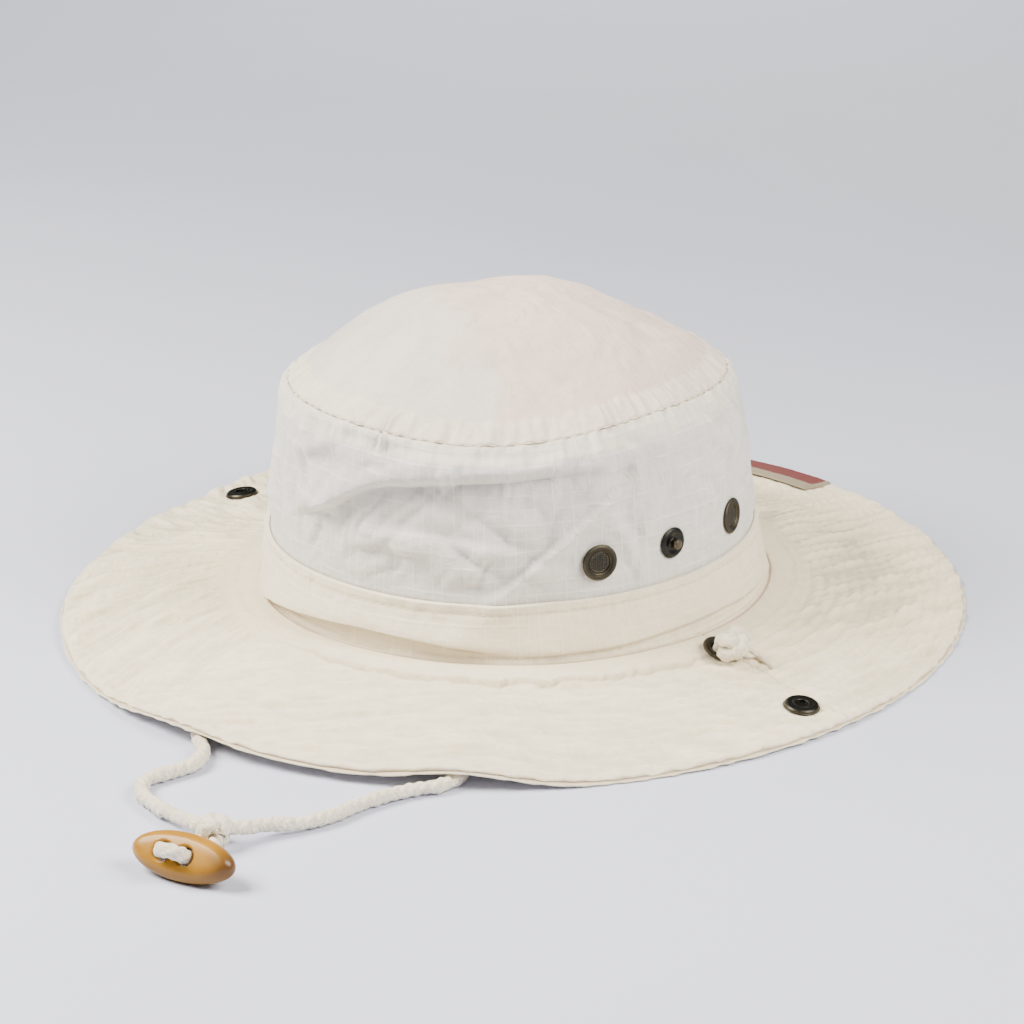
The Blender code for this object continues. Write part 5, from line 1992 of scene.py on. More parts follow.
@dataclass
class Fittings:
    """The metal fittings: four screened vents, two press studs and their sockets, and two eyelets."""

    form: HatForm
    plan: FittingPlan
    steps: int = 72
    wire_pitch: float = 0.00072
    wire_radius: float = 0.00015
    hoop_radius: float = 0.0002
    # Strengths of each fitting's wear and painted highlights: bright lines on rims and bores and on the
    # stud's post.
    bright_rim: float = 0.22
    bright_bore: float = 0.30
    bright_eyelet: float = 0.25
    bright_stud: float = 0.40
    bright_socket: float = 0.10
    bright_width: float = 0.00028
    bore_width: float = 0.0003

    def worn_rim(self, outline: Array, radius: float, most: float) -> Array:
        """Wear and painted highlight: a bright line near a flange's rim, a bell curve of each point's
        distance from it.
        """
        return most * bell(outline[:, 0] - radius * 0.93, self.bright_width)

    def domed_ring(self, radius: float, bore: float, rim: float, barrel: float) -> Array:
        """Outline of an eyelet: a barrel and a flange whose height is a power of half a sine wave from
        its bore to its rim, with a fine groove near the bore.

        Args:
            radius: the flange's radius.
            bore: the hole's radius.
            rim: the flange's height.
            barrel: how far the barrel goes down.

        Returns:
            Radius and height of each ring of points, in order round the outline.
        """
        share = (1.0 - np.cos(np.linspace(0.0, math.pi, 22))) / 2.0
        dome = np.sin(share * math.pi) ** 0.6
        height = rim * (0.22 + 0.78 * dome - 0.30 * bell(share - 0.26, 0.05))
        flange = np.stack([bore + (radius - bore) * share, height], axis=-1)
        wall = bore + self.plan.barrel_wall
        neck = 0.0002
        foot = [
            (radius, 0.0), (wall + neck, 0.0), (wall, -neck), (wall, -barrel), (bore, -barrel), (bore, -neck)
        ]
        return np.concatenate([flange, np.array(foot)])

    def turn_piece(
        self, node: str, outline: Array, seat: Seat, finish: Material, worn: Array
    ) -> None:
        """Builds a body turned round a fitting's axis: an outline that begins on the axis is closed
        there with fans, and any other is a ring.

        Args:
            node: the solid that it stands for, whose name it takes with the word metal.
            outline: radius and height of each ring of points.
            seat: where it stands.
            finish: its metal.
            worn: how bright the metal is at each ring of points, from wear and painted highlight.
        """
        build = MeshBuilder(f"{node}_metal", ("worn",))
        values = np.clip(worn, 0.0, 1.0)
        solid = outline[0, 0] < 1e-6
        rings = outline[1:-1] if solid else outline
        ring_worn = values[1:-1] if solid else values
        local = turned_points(rings, self.steps)
        index = build.add_points(seat.place(local), local[..., :2], worn=ring_worn[:, None])
        if solid:
            ends = np.stack([np.zeros(2), np.zeros(2), outline[[0, -1], 1]], axis=-1)
            poles = build.add_points(seat.place(ends), worn=values[[0, -1]])
            build.add_grid(index, True, False)
            build.add_fan(index[0], int(poles[0]), True)
            build.add_fan(index[-1], int(poles[1]), False)
        else:
            build.add_grid(np.concatenate([index, index[:1]]), True, False)
        mount(build.build(finish, sharp=48.0), "fitting_brass", node)

    def build_vents(self, metal: Material, wire: Material) -> None:
        """Builds the four vents' rings and their woven screens.

        Args:
            metal: the rings' metal.
            wire: the screens' wire.
        """
        plan = self.plan
        for label, seat in plan.vents(self.form).items():
            depth = seat.lift + self.form.crown_thick + GAP
            outline = self.domed_ring(plan.vent_radius, plan.vent_bore, plan.vent_rim, depth)
            # Wear and painted highlight: bright lines at the ring's rim and at its bore.
            worn = self.worn_rim(outline, plan.vent_radius, self.bright_rim)
            worn = worn + self.bright_bore * bell(outline[:, 0] - plan.vent_bore, self.bore_width)
            self.turn_piece(f"vent_ring_{label}", outline, seat, metal, worn)
            self.build_screen(label, seat, wire)

    def build_screen(self, label: str, seat: Seat, wire: Material) -> None:
        """Builds a screen of wires that pass over and under each other, each along a cosine wave, inside
        a thin hoop.

        Args:
            label: the vent's side and end.
            seat: where the vent stands.
            wire: the wire's finish.
        """
        reach = self.plan.vent_bore - GAP - 0.0001
        build = MeshBuilder(f"vent_screen_{label}_wire")
        rows = int(reach / self.wire_pitch)
        for direction in (0, 1):
            for row in range(-rows, rows + 1):
                offset = row * self.wire_pitch
                half = math.sqrt(max(reach**2 - offset**2, 1e-9))
                along = np.linspace(-half, half, max(int(half * 2.0 / self.wire_pitch * 4.0), 6))
                wave = np.cos((along / self.wire_pitch + row + direction) * math.pi) * self.wire_radius * 0.9
                columns = (along, np.full_like(along, offset))
                if direction == 1:
                    columns = columns[::-1]
                path = seat.place(np.stack([*columns, wave - 0.0001], axis=-1))
                radii = np.full((len(path), 5), self.wire_radius)
                add_tube(build, path, np.broadcast_to(seat.normal, path.shape), radii)
        around = ring_angles(7)
        ring = self.hoop_radius
        hoop = np.stack([reach + ring * np.cos(around), ring * np.sin(around) - 0.0001], axis=-1)
        local = turned_points(hoop, 48)
        index = build.add_points(seat.place(local), local[..., :2])
        build.add_grid(np.concatenate([index, index[:1]]), True, False)
        mount(build.build(wire), "vent_mesh", f"vent_screen_{label}")

    def build_snaps(self, metal: Material) -> None:
        """Builds the press studs on the wall and the sockets on the brim.

        Args:
            metal: the metal with dark enamel, bright where wear shows and where highlights are painted.
        """
        plan = self.plan
        rise = plan.stud_post_height
        foot = rise * 0.4
        tip = rise + foot
        radius = plan.stud_radius
        post = plan.stud_post
        stud = (
            (0.0, 0.0), (radius * 0.97, 0.0), (radius, foot * 0.25), (radius * 0.97, foot * 0.62),
            (radius * 0.80, foot), (radius * 0.62, foot * 0.80), (radius * 0.50, foot * 0.62),
            (post * 1.05, foot * 0.62), (post * 0.86, foot), (post * 0.84, foot + rise * 0.30),
            (post * 0.96, foot + rise * 0.55), (post * 0.97, foot + rise * 0.72),
            (post * 0.80, tip * 0.955), (post * 0.5, tip * 0.99), (0.0, tip),
        )
        outline = self.rounded(stud)
        # Wear and painted highlight: the stud's post is bright above its foot.
        worn = self.bright_stud * ease(outline[:, 1], foot * 1.3, foot * 1.9) * (outline[:, 0] < post * 1.3)
        for side, seat in plan.studs(self.form).items():
            self.turn_piece(f"snap_stud_{side}", outline, seat, metal, worn)
        high = plan.socket_height
        wide = plan.socket_radius
        bore = plan.socket_bore
        well = high * 0.35
        socket = (
            (0.0, 0.0), (wide * 0.97, 0.0), (wide, high * 0.2), (wide * 0.985, high * 0.5),
            (wide * 0.90, high * 0.86), (wide * 0.78, high), (wide * 0.66, high * 0.94),
            (bore * 1.65, high * 0.86), (bore * 1.45, high * 0.98), (bore * 1.2, high),
            (bore * 1.02, high * 0.84), (bore, well * 1.3), (bore * 0.92, well), (0.0, well),
        )
        outline = self.rounded(socket)
        # Wear and painted highlight: bright lines at the socket's rim and round its bore.
        worn = self.bright_rim * bell(outline[:, 0] - wide * 0.98, wide * 0.03)
        worn = worn + self.bright_socket * bell(outline[:, 0] - bore * 1.3, bore * 0.12)
        for side, seat in plan.sockets(self.form).items():
            self.turn_piece(f"snap_socket_{side}", outline, seat, metal, worn)

    def rounded(self, corners: tuple[tuple[float, float], ...]) -> Array:
        """An open outline with rounded corners: the cubic through its points, never past the axis."""
        table = np.array(corners)
        curve = through_rows(table, np.linspace(0.0, len(table) - 1.0, 4 * (len(table) - 1) + 1))
        curve[:, 0] = np.maximum(curve[:, 0], 0.0)
        curve[1:-1, 0] = np.maximum(curve[1:-1, 0], 0.0001)
        curve[:, 1] = np.maximum(curve[:, 1], 0.0)
        return curve

    def build_eyelets(self, metal: Material) -> None:
        """Builds the eyelets that the cord comes through.

        Args:
            metal: their metal.
        """
        plan = self.plan
        for side, seat in plan.eyelets(self.form).items():
            depth = seat.lift + self.form.brim_thick
            outline = self.domed_ring(plan.eyelet_radius, plan.eyelet_bore, plan.eyelet_rim, depth)
            worn = self.worn_rim(outline, plan.eyelet_radius, self.bright_eyelet)
            self.turn_piece(f"cord_eyelet_{side}", outline, seat, metal, worn)


# Chin cord and toggle


@dataclass(frozen=True)
class Rope:
    """A soft cord of three twisted strands."""

    radius: float = 0.0026
    pitch: float = 0.0115
    sides: int = 18
    step: float = 0.0004
    flute: float = 0.23
    lump: float = 0.12
    lump_run: float = 0.0045
    slow: float = 0.05
    slow_run: float = 0.016
    nap: float = 0.085
    nap_run: float = 0.0013

    def add(
        self, build: MeshBuilder, points: Array, seed: int, size: float, reference: Array | None = None
    ) -> None:
        """Adds a length of cord: its radius is the size times a strand shape, the absolute cosine of one
        and a half times the angle less the twist, and three sizes of seeded lumps.

        Args:
            build: the mesh being gathered.
            points: points that its middle runs through.
            seed: which lumps.
            size: its radius as a share of the cord's own.
            reference: a direction at each even step that it never runs along; up where left out.
        """
        path, run = even_path(points, self.step)
        angle = ring_angles(self.sides)[None, :]
        phase = angle - 2.0 * math.pi * run[:, None] / self.pitch
        strand = np.abs(np.cos(1.5 * phase))
        along = run[:, None]
        lumps = lattice_noise(along / self.lump_run, angle / (2.0 * math.pi) * 3.0, 400, seed)
        slow = lattice_noise(along / self.slow_run, 7.3, 200, seed + 1)
        nap = lattice_noise(along / self.nap_run, angle / (2.0 * math.pi) * 9.0, 900, seed + 2)
        swell = self.lump * lumps + self.slow * slow + self.nap * nap
        radii = self.radius * size * (1.0 - self.flute + self.flute * strand + swell)
        if reference is None:
            reference = np.broadcast_to((0.0, 0.0, 1.0), path.shape)
        add_tube(build, path, reference, radii, groove=1.0 - strand)

    def knot_points(self, length: float, width: float, height: float, turns: int = 26) -> Array:
        """Middle line of a pulled-tight overhand knot, a flattened trefoil: radius 2 plus the cosine of
        three times the angle over two turns, with a sine of three times the angle as its height."""
        angle = np.linspace(0.0, 2.0 * math.pi, turns)
        radius = 2.0 + np.cos(3.0 * angle)
        shape = np.stack(
            [radius * np.cos(2.0 * angle), radius * np.sin(2.0 * angle), np.sin(3.0 * angle)], axis=-1
        )
        room = np.array((length, width, height)) - self.radius * 1.75
        return shape / np.array((6.0, 6.0, 2.0)) * np.maximum(room, 0.0008)


@dataclass
class ChinCord:
    """The cord from one brim knot down through its eyelet, along the table to the toggle's knot, and
    back to the other side, with its knots and the turn of cord that holds the toggle."""

    form: HatForm
    plan: FittingPlan
    toggle: "Toggle"
    rope: Rope = Rope()
    diameter: float = 0.0052
    knot_size: Triple = (0.0158, 0.0128, 0.0104)
    knot_shift: float = 0.0050
    slack: float = 0.985
    tight: float = 0.98
    tail_share: float = 0.42
    tail: tuple[Triple, ...] = (
        (0.0030, -0.0010, -0.0012), (0.0068, -0.0034, -0.0026), (0.0096, -0.0066, -0.0042),
        (0.0104, -0.0104, -0.0046), (0.0112, -0.0140, -0.0046),
    )
    toggle_knot_size: Triple = (0.0120, 0.0120, 0.0112)
    toggle_knot_place: tuple[float, float] = (0.0814, -0.2206)
    near_route: tuple[Triple, ...] = (
        (0.1092, -0.0130, 0.0036), (0.1094, -0.0250, 0.0028), (0.1078, -0.0400, 0.0028),
        (0.1040, -0.0580, 0.0028), (0.0990, -0.0740, 0.0028), (0.0942, -0.0880, 0.0028),
        (0.0914, -0.1000, 0.0028), (0.0922, -0.1100, 0.0028), (0.0964, -0.1190, 0.0028),
        (0.1012, -0.1270, 0.0028), (0.1038, -0.1340, 0.0028), (0.1032, -0.1410, 0.0028),
        (0.0998, -0.1480, 0.0028), (0.0966, -0.1570, 0.0028), (0.0950, -0.1700, 0.0028),
        (0.0948, -0.1820, 0.0028), (0.0922, -0.1930, 0.0030), (0.0880, -0.2020, 0.0042),
    )
    far_route: tuple[Triple, ...] = (
        (-0.1092, -0.0130, 0.0036), (-0.1105, -0.0260, 0.0028), (-0.1065, -0.0430, 0.0028),
        (-0.0975, -0.0640, 0.0028), (-0.0830, -0.0830, 0.0028), (-0.0650, -0.0990, 0.0028),
        (-0.0450, -0.1105, 0.0028), (-0.0270, -0.1190, 0.0028), (-0.0120, -0.1275, 0.0028),
        (-0.0020, -0.1375, 0.0028), (0.0025, -0.1485, 0.0028), (0.0060, -0.1590, 0.0028),
        (0.0115, -0.1680, 0.0028), (0.0195, -0.1742, 0.0028), (0.0278, -0.1800, 0.0028),
        (0.0322, -0.1888, 0.0028), (0.0310, -0.1985, 0.0028), (0.0302, -0.2070, 0.0028),
        (0.0370, -0.2145, 0.0028), (0.0490, -0.2180, 0.0030), (0.0620, -0.2192, 0.0040),
    )

    @property
    def knot_center(self) -> Array:
        """The middle of the knot behind the toggle."""
        return np.array((*self.toggle_knot_place, self.toggle_knot_size[2] / 2.0 + GAP))

    def side_points(self, seat: Seat, route: tuple[Triple, ...]) -> Array:
        """Points of one side: from inside the brim's knot down through the eyelet, the route, and into
        the toggle's knot.

        Args:
            seat: where the eyelet stands.
            route: the route over the table.

        Returns:
            The points.
        """
        rim = seat.lift + self.plan.eyelet_rim
        through = self.form.brim_thick + self.form.ring_rise
        down = [rim + 0.0020, rim - 0.0003, -through, -through - self.diameter * 0.35]
        begin = [seat.point + seat.normal * height for height in down]
        last = np.array(route[-1])
        toward = unit((self.knot_center - last) * (1.0, 1.0, 0.0))
        end = self.knot_center - toward * self.toggle_knot_size[0] * 0.42
        return np.array([*begin, *route, end])

    def build_cord(self, finish: Material) -> tuple[Piece, Array]:
        """Builds both sides as one cord that runs through the toggle's knot.

        Args:
            finish: the cord's finish.

        Returns:
            The finished piece and points along its middle.
        """
        seats = self.plan.eyelets(self.form)
        near = self.side_points(seats["near"], self.near_route)
        far = self.side_points(seats["far"], self.far_route)
        points = np.concatenate([near, far[::-1]])
        path, run = even_path(points, self.rope.step)
        share = ease(np.minimum(run, run[-1] - run), 0.003, 0.016)[:, None]
        reference = unit((1.0 - share) * (1.0, 0.0, 0.0) + share * (0.0, 0.0, 1.0))
        build = MeshBuilder("chin_cord_rope", ("groove",))
        self.rope.add(build, points, 7, self.slack, reference)
        piece = mount(build.build(finish, sharp=80.0), "cord_cotton", "chin_cord_near", "chin_cord_far")
        return piece, path

    def build_brim_knots(self, finish: Material) -> list[Piece]:
        """Builds the knot on each side of the brim, with its short tail.

        Args:
            finish: the cord's finish.

        Returns:
            The two pieces.
        """
        pieces = []
        for side, seat in self.plan.eyelets(self.form).items():
            outward = seat.point * (1.0, 1.0, 0.0)
            outward = outward / np.linalg.norm(outward)
            outward = outward - seat.normal * float(outward @ seat.normal)
            lift = seat.lift + self.plan.eyelet_rim + self.knot_size[2] / 2.0 + GAP
            place = Seat(seat.point + outward * self.knot_shift, seat.normal, lift)
            build = MeshBuilder(f"brim_knot_{side}_rope", ("groove",))
            self.rope.add(build, place.place(self.rope.knot_points(*self.knot_size)), 17, self.tight)
            self.rope.add(build, place.place(np.array(self.tail)), 47, self.tail_share)
            pieces.append(mount(build.build(finish, sharp=80.0), "cord_cotton", f"brim_knot_{side}"))
        return pieces

    def build_toggle_knot(self, finish: Material) -> Piece:
        """Builds the knot behind the toggle.

        Args:
            finish: the cord's finish.

        Returns:
            The finished piece.
        """
        build = MeshBuilder("toggle_knot_rope", ("groove",))
        points = self.rope.knot_points(*self.toggle_knot_size) + self.knot_center
        self.rope.add(build, points, 27, self.tight)
        return mount(build.build(finish, sharp=80.0), "cord_cotton", "toggle_knot")

    def build_loop(self, finish: Material) -> Piece:
        """Builds the turn of cord from the knot through one hole, over the toggle's face and back.

        Args:
            finish: the cord's finish.

        Returns:
            The finished piece.
        """
        toggle = self.toggle
        radius = self.diameter / 2.0
        half = toggle.hole_spacing / 2.0
        face = toggle.thick / 2.0
        center = self.knot_center
        middle = toggle.placed(np.array((toggle.hole_shift, 0.0, -face)))
        toward = unit((center - middle) * (1.0, 1.0, 0.0))
        across = np.array((toward[1], -toward[0], 0.0))
        legs = []
        for side in (-1.0, 1.0):
            back = toggle.placed(np.array((toggle.hole_shift + side * half, 0.0, -face)))
            sign = 1.0 if float((back - middle) @ across) > 0.0 else -1.0
            end = center - toward * (self.toggle_knot_size[0] / 2.0 + GAP) + across * sign * (radius + GAP)
            end[2] = center[2] - radius * 0.6
            bend = back * 0.55 + end * 0.45
            bend[2] = min(back[2], end[2])
            legs.append([end + toward * 0.0012, bend, back])
        angle = np.radians(np.array((180.0, 135.0, 90.0, 45.0, 0.0)))
        along = toggle.hole_shift + half * np.cos(angle)
        arch = np.stack([along, angle * 0.0, face + half * 0.95 * np.sin(angle)], axis=-1)
        points = np.array([*legs[0], *toggle.placed(arch), *legs[1][::-1]])
        path = even_path(points, self.rope.step)[0]
        upward = toggle.placed(np.array((0.0, 1.0, 0.0))) - toggle.placed(np.zeros(3))
        reference = np.broadcast_to(upward, path.shape)
        build = MeshBuilder("toggle_loop_rope", ("groove",))
        self.rope.add(build, points, 37, self.slack, reference)
        return mount(build.build(finish, sharp=80.0), "cord_cotton", "toggle_loop")


@dataclass
class Toggle:
    """The oval wooden toggle: a lens with a rounded rim and two holes through its face."""

    length: float = 0.0380
    width: float = 0.0160
    thick: float = 0.0080
    hole_spacing: float = 0.0080
    hole_shift: float = -0.0020
    hole_radius: float = 0.0031
    turn: float = 17.0
    lean: float = 37.0
    place: tuple[float, float] = (0.0910, -0.2414)
    rings: tuple[tuple[float, float], ...] = (
        (-0.50, 0.45), (-0.44, 0.72), (-0.22, 0.94), (0.0, 1.0), (0.22, 0.94), (0.44, 0.72),
        (0.50, 0.45),
    )

    @cached_property
    def matrix(self) -> Array:
        """Its place as a 3 by 4 matrix: its long way turned on the table and its face leaning up."""
        lean = math.radians(self.lean)
        low = GAP + max(
            self.width / 2.0 * share * math.cos(lean) - self.thick * level * math.sin(lean)
            for level, share in self.rings
        )
        turn = Matrix.Rotation(math.radians(self.turn), 4, "Z")
        tilt = Matrix.Rotation(math.radians(90.0) - lean, 4, "X")
        return np.array(Matrix.Translation((*self.place, low)) @ turn @ tilt)[:3]

    def placed(self, points: Array) -> Array:
        """Points given in the toggle's own frame, moved to where it lies."""
        return points @ self.matrix[:, :3].T + self.matrix[:, 3]

    def build(self, finish: Material) -> Piece:
        """Builds the lens and bores its holes with flared ends.

        Args:
            finish: its wood.

        Returns:
            The finished piece.
        """
        table = np.array([(-0.515, 0.0), (-0.512, 0.22), *self.rings, (0.512, 0.22), (0.515, 0.0)])
        curve = through_rows(table, np.linspace(0.0, len(table) - 1.0, 5 * (len(table) - 1) + 1))[1:-1]
        angle = ring_angles(144)
        share = curve[:, 1:2]
        x = self.length / 2.0 * np.cos(angle) * (1.0 - (1.0 - share) * self.width / self.length)
        x = x * (1.0 - np.clip(1.0 - share / 0.45, 0.0, 1.0))
        y = self.width / 2.0 * np.sin(angle) * share
        local = np.stack([x, y, np.broadcast_to(curve[:, :1] * self.thick, x.shape)], axis=-1)
        build = MeshBuilder("toggle_wood")
        index = build.add_points(self.placed(local), local[..., :2])
        ends = np.array([(0.0, 0.0, -0.515 * self.thick), (0.0, 0.0, 0.515 * self.thick)])
        poles = build.add_points(self.placed(ends))
        build.add_grid(index, True, False)
        build.add_fan(index[0], int(poles[0]), True)
        build.add_fan(index[-1], int(poles[1]), False)
        piece = build.build(finish, sharp=50.0)
        axis = self.placed(np.array((0.0, 0.0, 1.0))) - self.placed(np.zeros(3))
        for side in (-1.0, 1.0):
            middle = self.placed(np.array((self.hole_shift + side * self.hole_spacing / 2.0, 0.0, 0.0)))
            bore_through(piece, Seat(middle, axis, 0.0), self.hole_radius, self.thick, flare=0.0006)
        return mount(piece, "toggle_wood", "toggle")


# Finishes


class Graph:
    """A node tree being built, with short calls for the nodes that the finishes share."""

    def __init__(self, tree: NodeTree) -> None:
        """Starts on an empty tree.

        Args:
            tree: the tree to fill.
        """
        self.tree = tree

    def node(self, kind: str, **inputs: Socket | float | tuple[float, ...]) -> Node:
        """Adds a node and sets or links its inputs.

        Args:
            kind: the node's type.
            inputs: a value or a socket for each input, spaces written as underscores.

        Returns:
            The new node.
        """
        made = self.tree.nodes.new(kind)
        self.fill(made, **inputs)
        return made

    def fill(self, made: Node, **inputs: Socket | float | tuple[float, ...]) -> None:
        """Sets or links inputs of a node, by names with spaces written as underscores."""
        for name, value in inputs.items():
            label = name.replace("_", " ")
            target = next(socket for socket in made.inputs if socket.name == label and socket.enabled)
            self.feed(target, value)

    def feed(self, target: Socket, value: Socket | float | tuple[float, ...]) -> None:
        """Links a socket to an input, or sets the input's own value."""
        if isinstance(value, Socket):
            self.tree.links.new(value, target)
        else:
            target.default_value = value

    def sum(
        self, operation: str, first: Socket | float, second: Socket | float = 0.0, third: Socket | float = 0.0
    ) -> Socket:
        """A math node's result."""
        made = self.tree.nodes.new("ShaderNodeMath")
        made.operation = operation
        for target, value in zip(made.inputs, (first, second, third)):
            self.feed(target, value)
        return made.outputs[0]

    def remap(self, value: Socket, low: float, high: float, bottom: float = 0.0, top: float = 1.0) -> Socket:
        """A value's place between low and high, eased, as a number from bottom to top."""
        made = self.node(
            "ShaderNodeMapRange", Value=value, From_Min=low, From_Max=high, To_Min=bottom, To_Max=top
        )
        made.interpolation_type = "SMOOTHSTEP"
        return made.outputs["Result"]

    def scaled(self, place: Socket, size: Socket) -> Socket:
        """A place counted in units of a size."""
        made = self.node("ShaderNodeVectorMath")
        made.operation = "SCALE"
        self.feed(made.inputs[0], place)
        self.feed(made.inputs["Scale"], self.sum("DIVIDE", 1.0, size))
        return made.outputs[0]

    def noise(self, place: Socket, scale: float, detail: float = 3.0, rough: float = 0.55) -> Socket:
        """A noise texture's value."""
        made = self.node("ShaderNodeTexNoise", Vector=place, Scale=scale, Detail=detail, Roughness=rough)
        return made.outputs["Fac"]

    def stretch(
        self, place: Socket, scale: Triple, turn: Triple = (0, 0, 0)
    ) -> Socket:
        """A place turned and stretched along its axes."""
        return self.node("ShaderNodeMapping", Vector=place, Scale=scale, Rotation=turn).outputs["Vector"]

    def blend(
        self, share: Socket | float, first: Socket | tuple[float, ...], second: Socket | tuple[float, ...]
    ) -> Socket:
        """A mix of two colours."""
        made = self.tree.nodes.new("ShaderNodeMix")
        made.data_type = "RGBA"
        self.feed(made.inputs[0], share)
        for target, value in zip(made.inputs[6:8], (first, second)):
            self.feed(target, value if isinstance(value, Socket) else (*value[:3], 1.0))
        return made.outputs[2]

    def mask(self, name: str) -> Socket:
        """A mask that the piece's mesh holds."""
        made = self.tree.nodes.new("ShaderNodeAttribute")
        made.attribute_name = name
        return made.outputs["Fac"]

    def group(self, tree: NodeTree, **inputs: Socket | float) -> Node:
        """A shared node group with its inputs set or linked."""
        made = self.tree.nodes.new("ShaderNodeGroup")
        made.node_tree = tree
        for name, value in inputs.items():
            self.feed(made.inputs[name], value)
        return made

    def shade(self, colour: Socket, strength: Socket) -> Socket:
        """A colour made darker or lighter by a number."""
        return self.node("ShaderNodeHueSaturation", Color=colour, Value=strength).outputs["Color"]


def make_group(
    name: str, numbers: tuple[str, ...], outputs: tuple[str, ...]
) -> tuple[NodeTree, Graph, dict, dict]:
    """Starts a node group that more than one finish uses, with a place as its first input.

    Args:
        name: the group's name.
        numbers: names of its other inputs, all numbers.
        outputs: names of its outputs, all numbers.

    Returns:
        The tree, its graph, its inputs' sockets and the sockets that its outputs are fed through.
    """
    tree = bpy.data.node_groups.new(name, "ShaderNodeTree")
    tree.interface.new_socket("Place", in_out="INPUT", socket_type="NodeSocketVector")
    for way, labels in (("INPUT", numbers), ("OUTPUT", outputs)):
        for label in labels:
            tree.interface.new_socket(label, in_out=way, socket_type="NodeSocketFloat")
    begin = tree.nodes.new("NodeGroupInput")
    end = tree.nodes.new("NodeGroupOutput")
    return tree, Graph(tree), begin.outputs, end.inputs


def plain_weave_group() -> NodeTree:
    """Woven cloth: rows of warp and weft as sine waves, broken up by slubs that run along each."""
    tree, graph, begin, end = make_group("plain_weave", ("Pitch",), ("Height", "Slub"))
    place = graph.scaled(begin["Place"], begin["Pitch"])
    parts = graph.node("ShaderNodeSeparateXYZ", Vector=place)
    warp = graph.sum("SINE", graph.sum("MULTIPLY", parts.outputs[0], 2.0 * math.pi))
    weft = graph.sum("SINE", graph.sum("MULTIPLY", parts.outputs[1], 2.0 * math.pi))
    weave = graph.sum("MULTIPLY", warp, weft)
    along = graph.noise(graph.stretch(place, (0.05, 0.9, 0.5)), 1.0, 2.0)
    across = graph.noise(graph.stretch(place, (0.9, 0.05, 0.5)), 1.0, 2.0)
    slub = graph.sum("ADD", along, across)
    graph.feed(end["Height"], graph.sum("ADD", graph.sum("MULTIPLY", weave, 0.35), slub))
    graph.feed(end["Slub"], slub)
    return tree


def mottle_group() -> NodeTree:
    """Two sizes of cloudy patches, from 0 to 1."""
    tree, graph, begin, end = make_group("mottle", ("Scale",), ("Cloud", "Fine"))
    for label, share, detail in (("Cloud", 1.0, 3.0), ("Fine", 6.0, 4.0)):
        made = graph.node("ShaderNodeTexNoise", Vector=begin["Place"], Detail=detail, Roughness=0.6)
        graph.feed(made.inputs["Scale"], graph.sum("MULTIPLY", begin["Scale"], share))
        graph.feed(end[label], graph.remap(made.outputs["Fac"], 0.3, 0.7))
    return tree


def crinkle_group() -> NodeTree:
    """Fine creases of soft cloth: cloudy noise with sharp valleys where a second noise passes its middle."""
    tree, graph, begin, end = make_group("crinkle", ("Size",), ("Height",))
    place = graph.scaled(begin["Place"], begin["Size"])
    cloud = graph.noise(place, 1.0, 3.0, 0.6)
    second = graph.noise(graph.stretch(place, (0.45, 0.9, 0.45), (0.0, 0.0, 0.5)), 1.0, 2.0)
    valley = graph.sum("ABSOLUTE", graph.sum("SUBTRACT", second, 0.5))
    graph.feed(end["Height"], graph.sum("MULTIPLY_ADD", valley, 1.6, cloud))
    return tree


def ripstop_group() -> NodeTree:
    """A grid of thicker threads, some stronger than others, as a number from 0 to 1."""
    tree, graph, begin, end = make_group("ripstop", ("Across", "Up"), ("Line",))
    parts = graph.node("ShaderNodeSeparateXYZ", Vector=begin["Place"])
    lines = []
    for axis, label, run in ((0, "Across", (300.0, 40.0, 1.0)), (1, "Up", (40.0, 300.0, 1.0))):
        sway = graph.noise(begin["Place"], 30.0, 1.0)
        place = graph.sum("MULTIPLY_ADD", sway, 0.30, graph.sum("DIVIDE", parts.outputs[axis], begin[label]))
        off = graph.sum("ABSOLUTE", graph.sum("SUBTRACT", graph.sum("FRACT", place), 0.5))
        thin = graph.remap(off, 0.36, 0.47)
        patchy = graph.noise(graph.stretch(begin["Place"], run), 1.0, 1.0)
        lines.append(graph.sum("MULTIPLY", thin, graph.remap(patchy, 0.38, 0.62)))
    graph.feed(end["Line"], graph.sum("MAXIMUM", lines[0], lines[1]))
    return tree


def start_material(name: str) -> tuple[Material, Graph, Node, Node]:
    """Starts a material that has one shader.

    Args:
        name: the material's name.

    Returns:
        The material, its graph, its shader and its texture coordinates.
    """
    material = bpy.data.materials.new(name)
    material.use_nodes = True
    graph = Graph(material.node_tree)
    return material, graph, material.node_tree.nodes["Principled BSDF"], graph.node("ShaderNodeTexCoord")


@dataclass(frozen=True)
class Groups:
    """The node groups that the finishes share."""

    weave: NodeTree
    mottle: NodeTree
    crinkle: NodeTree
    ripstop: NodeTree


class Layout(Enum):
    """What a weave is laid out on: the hat's own space, or lengths of the piece's cloth."""

    SPACE = "Object"
    CLOTH = "UV"


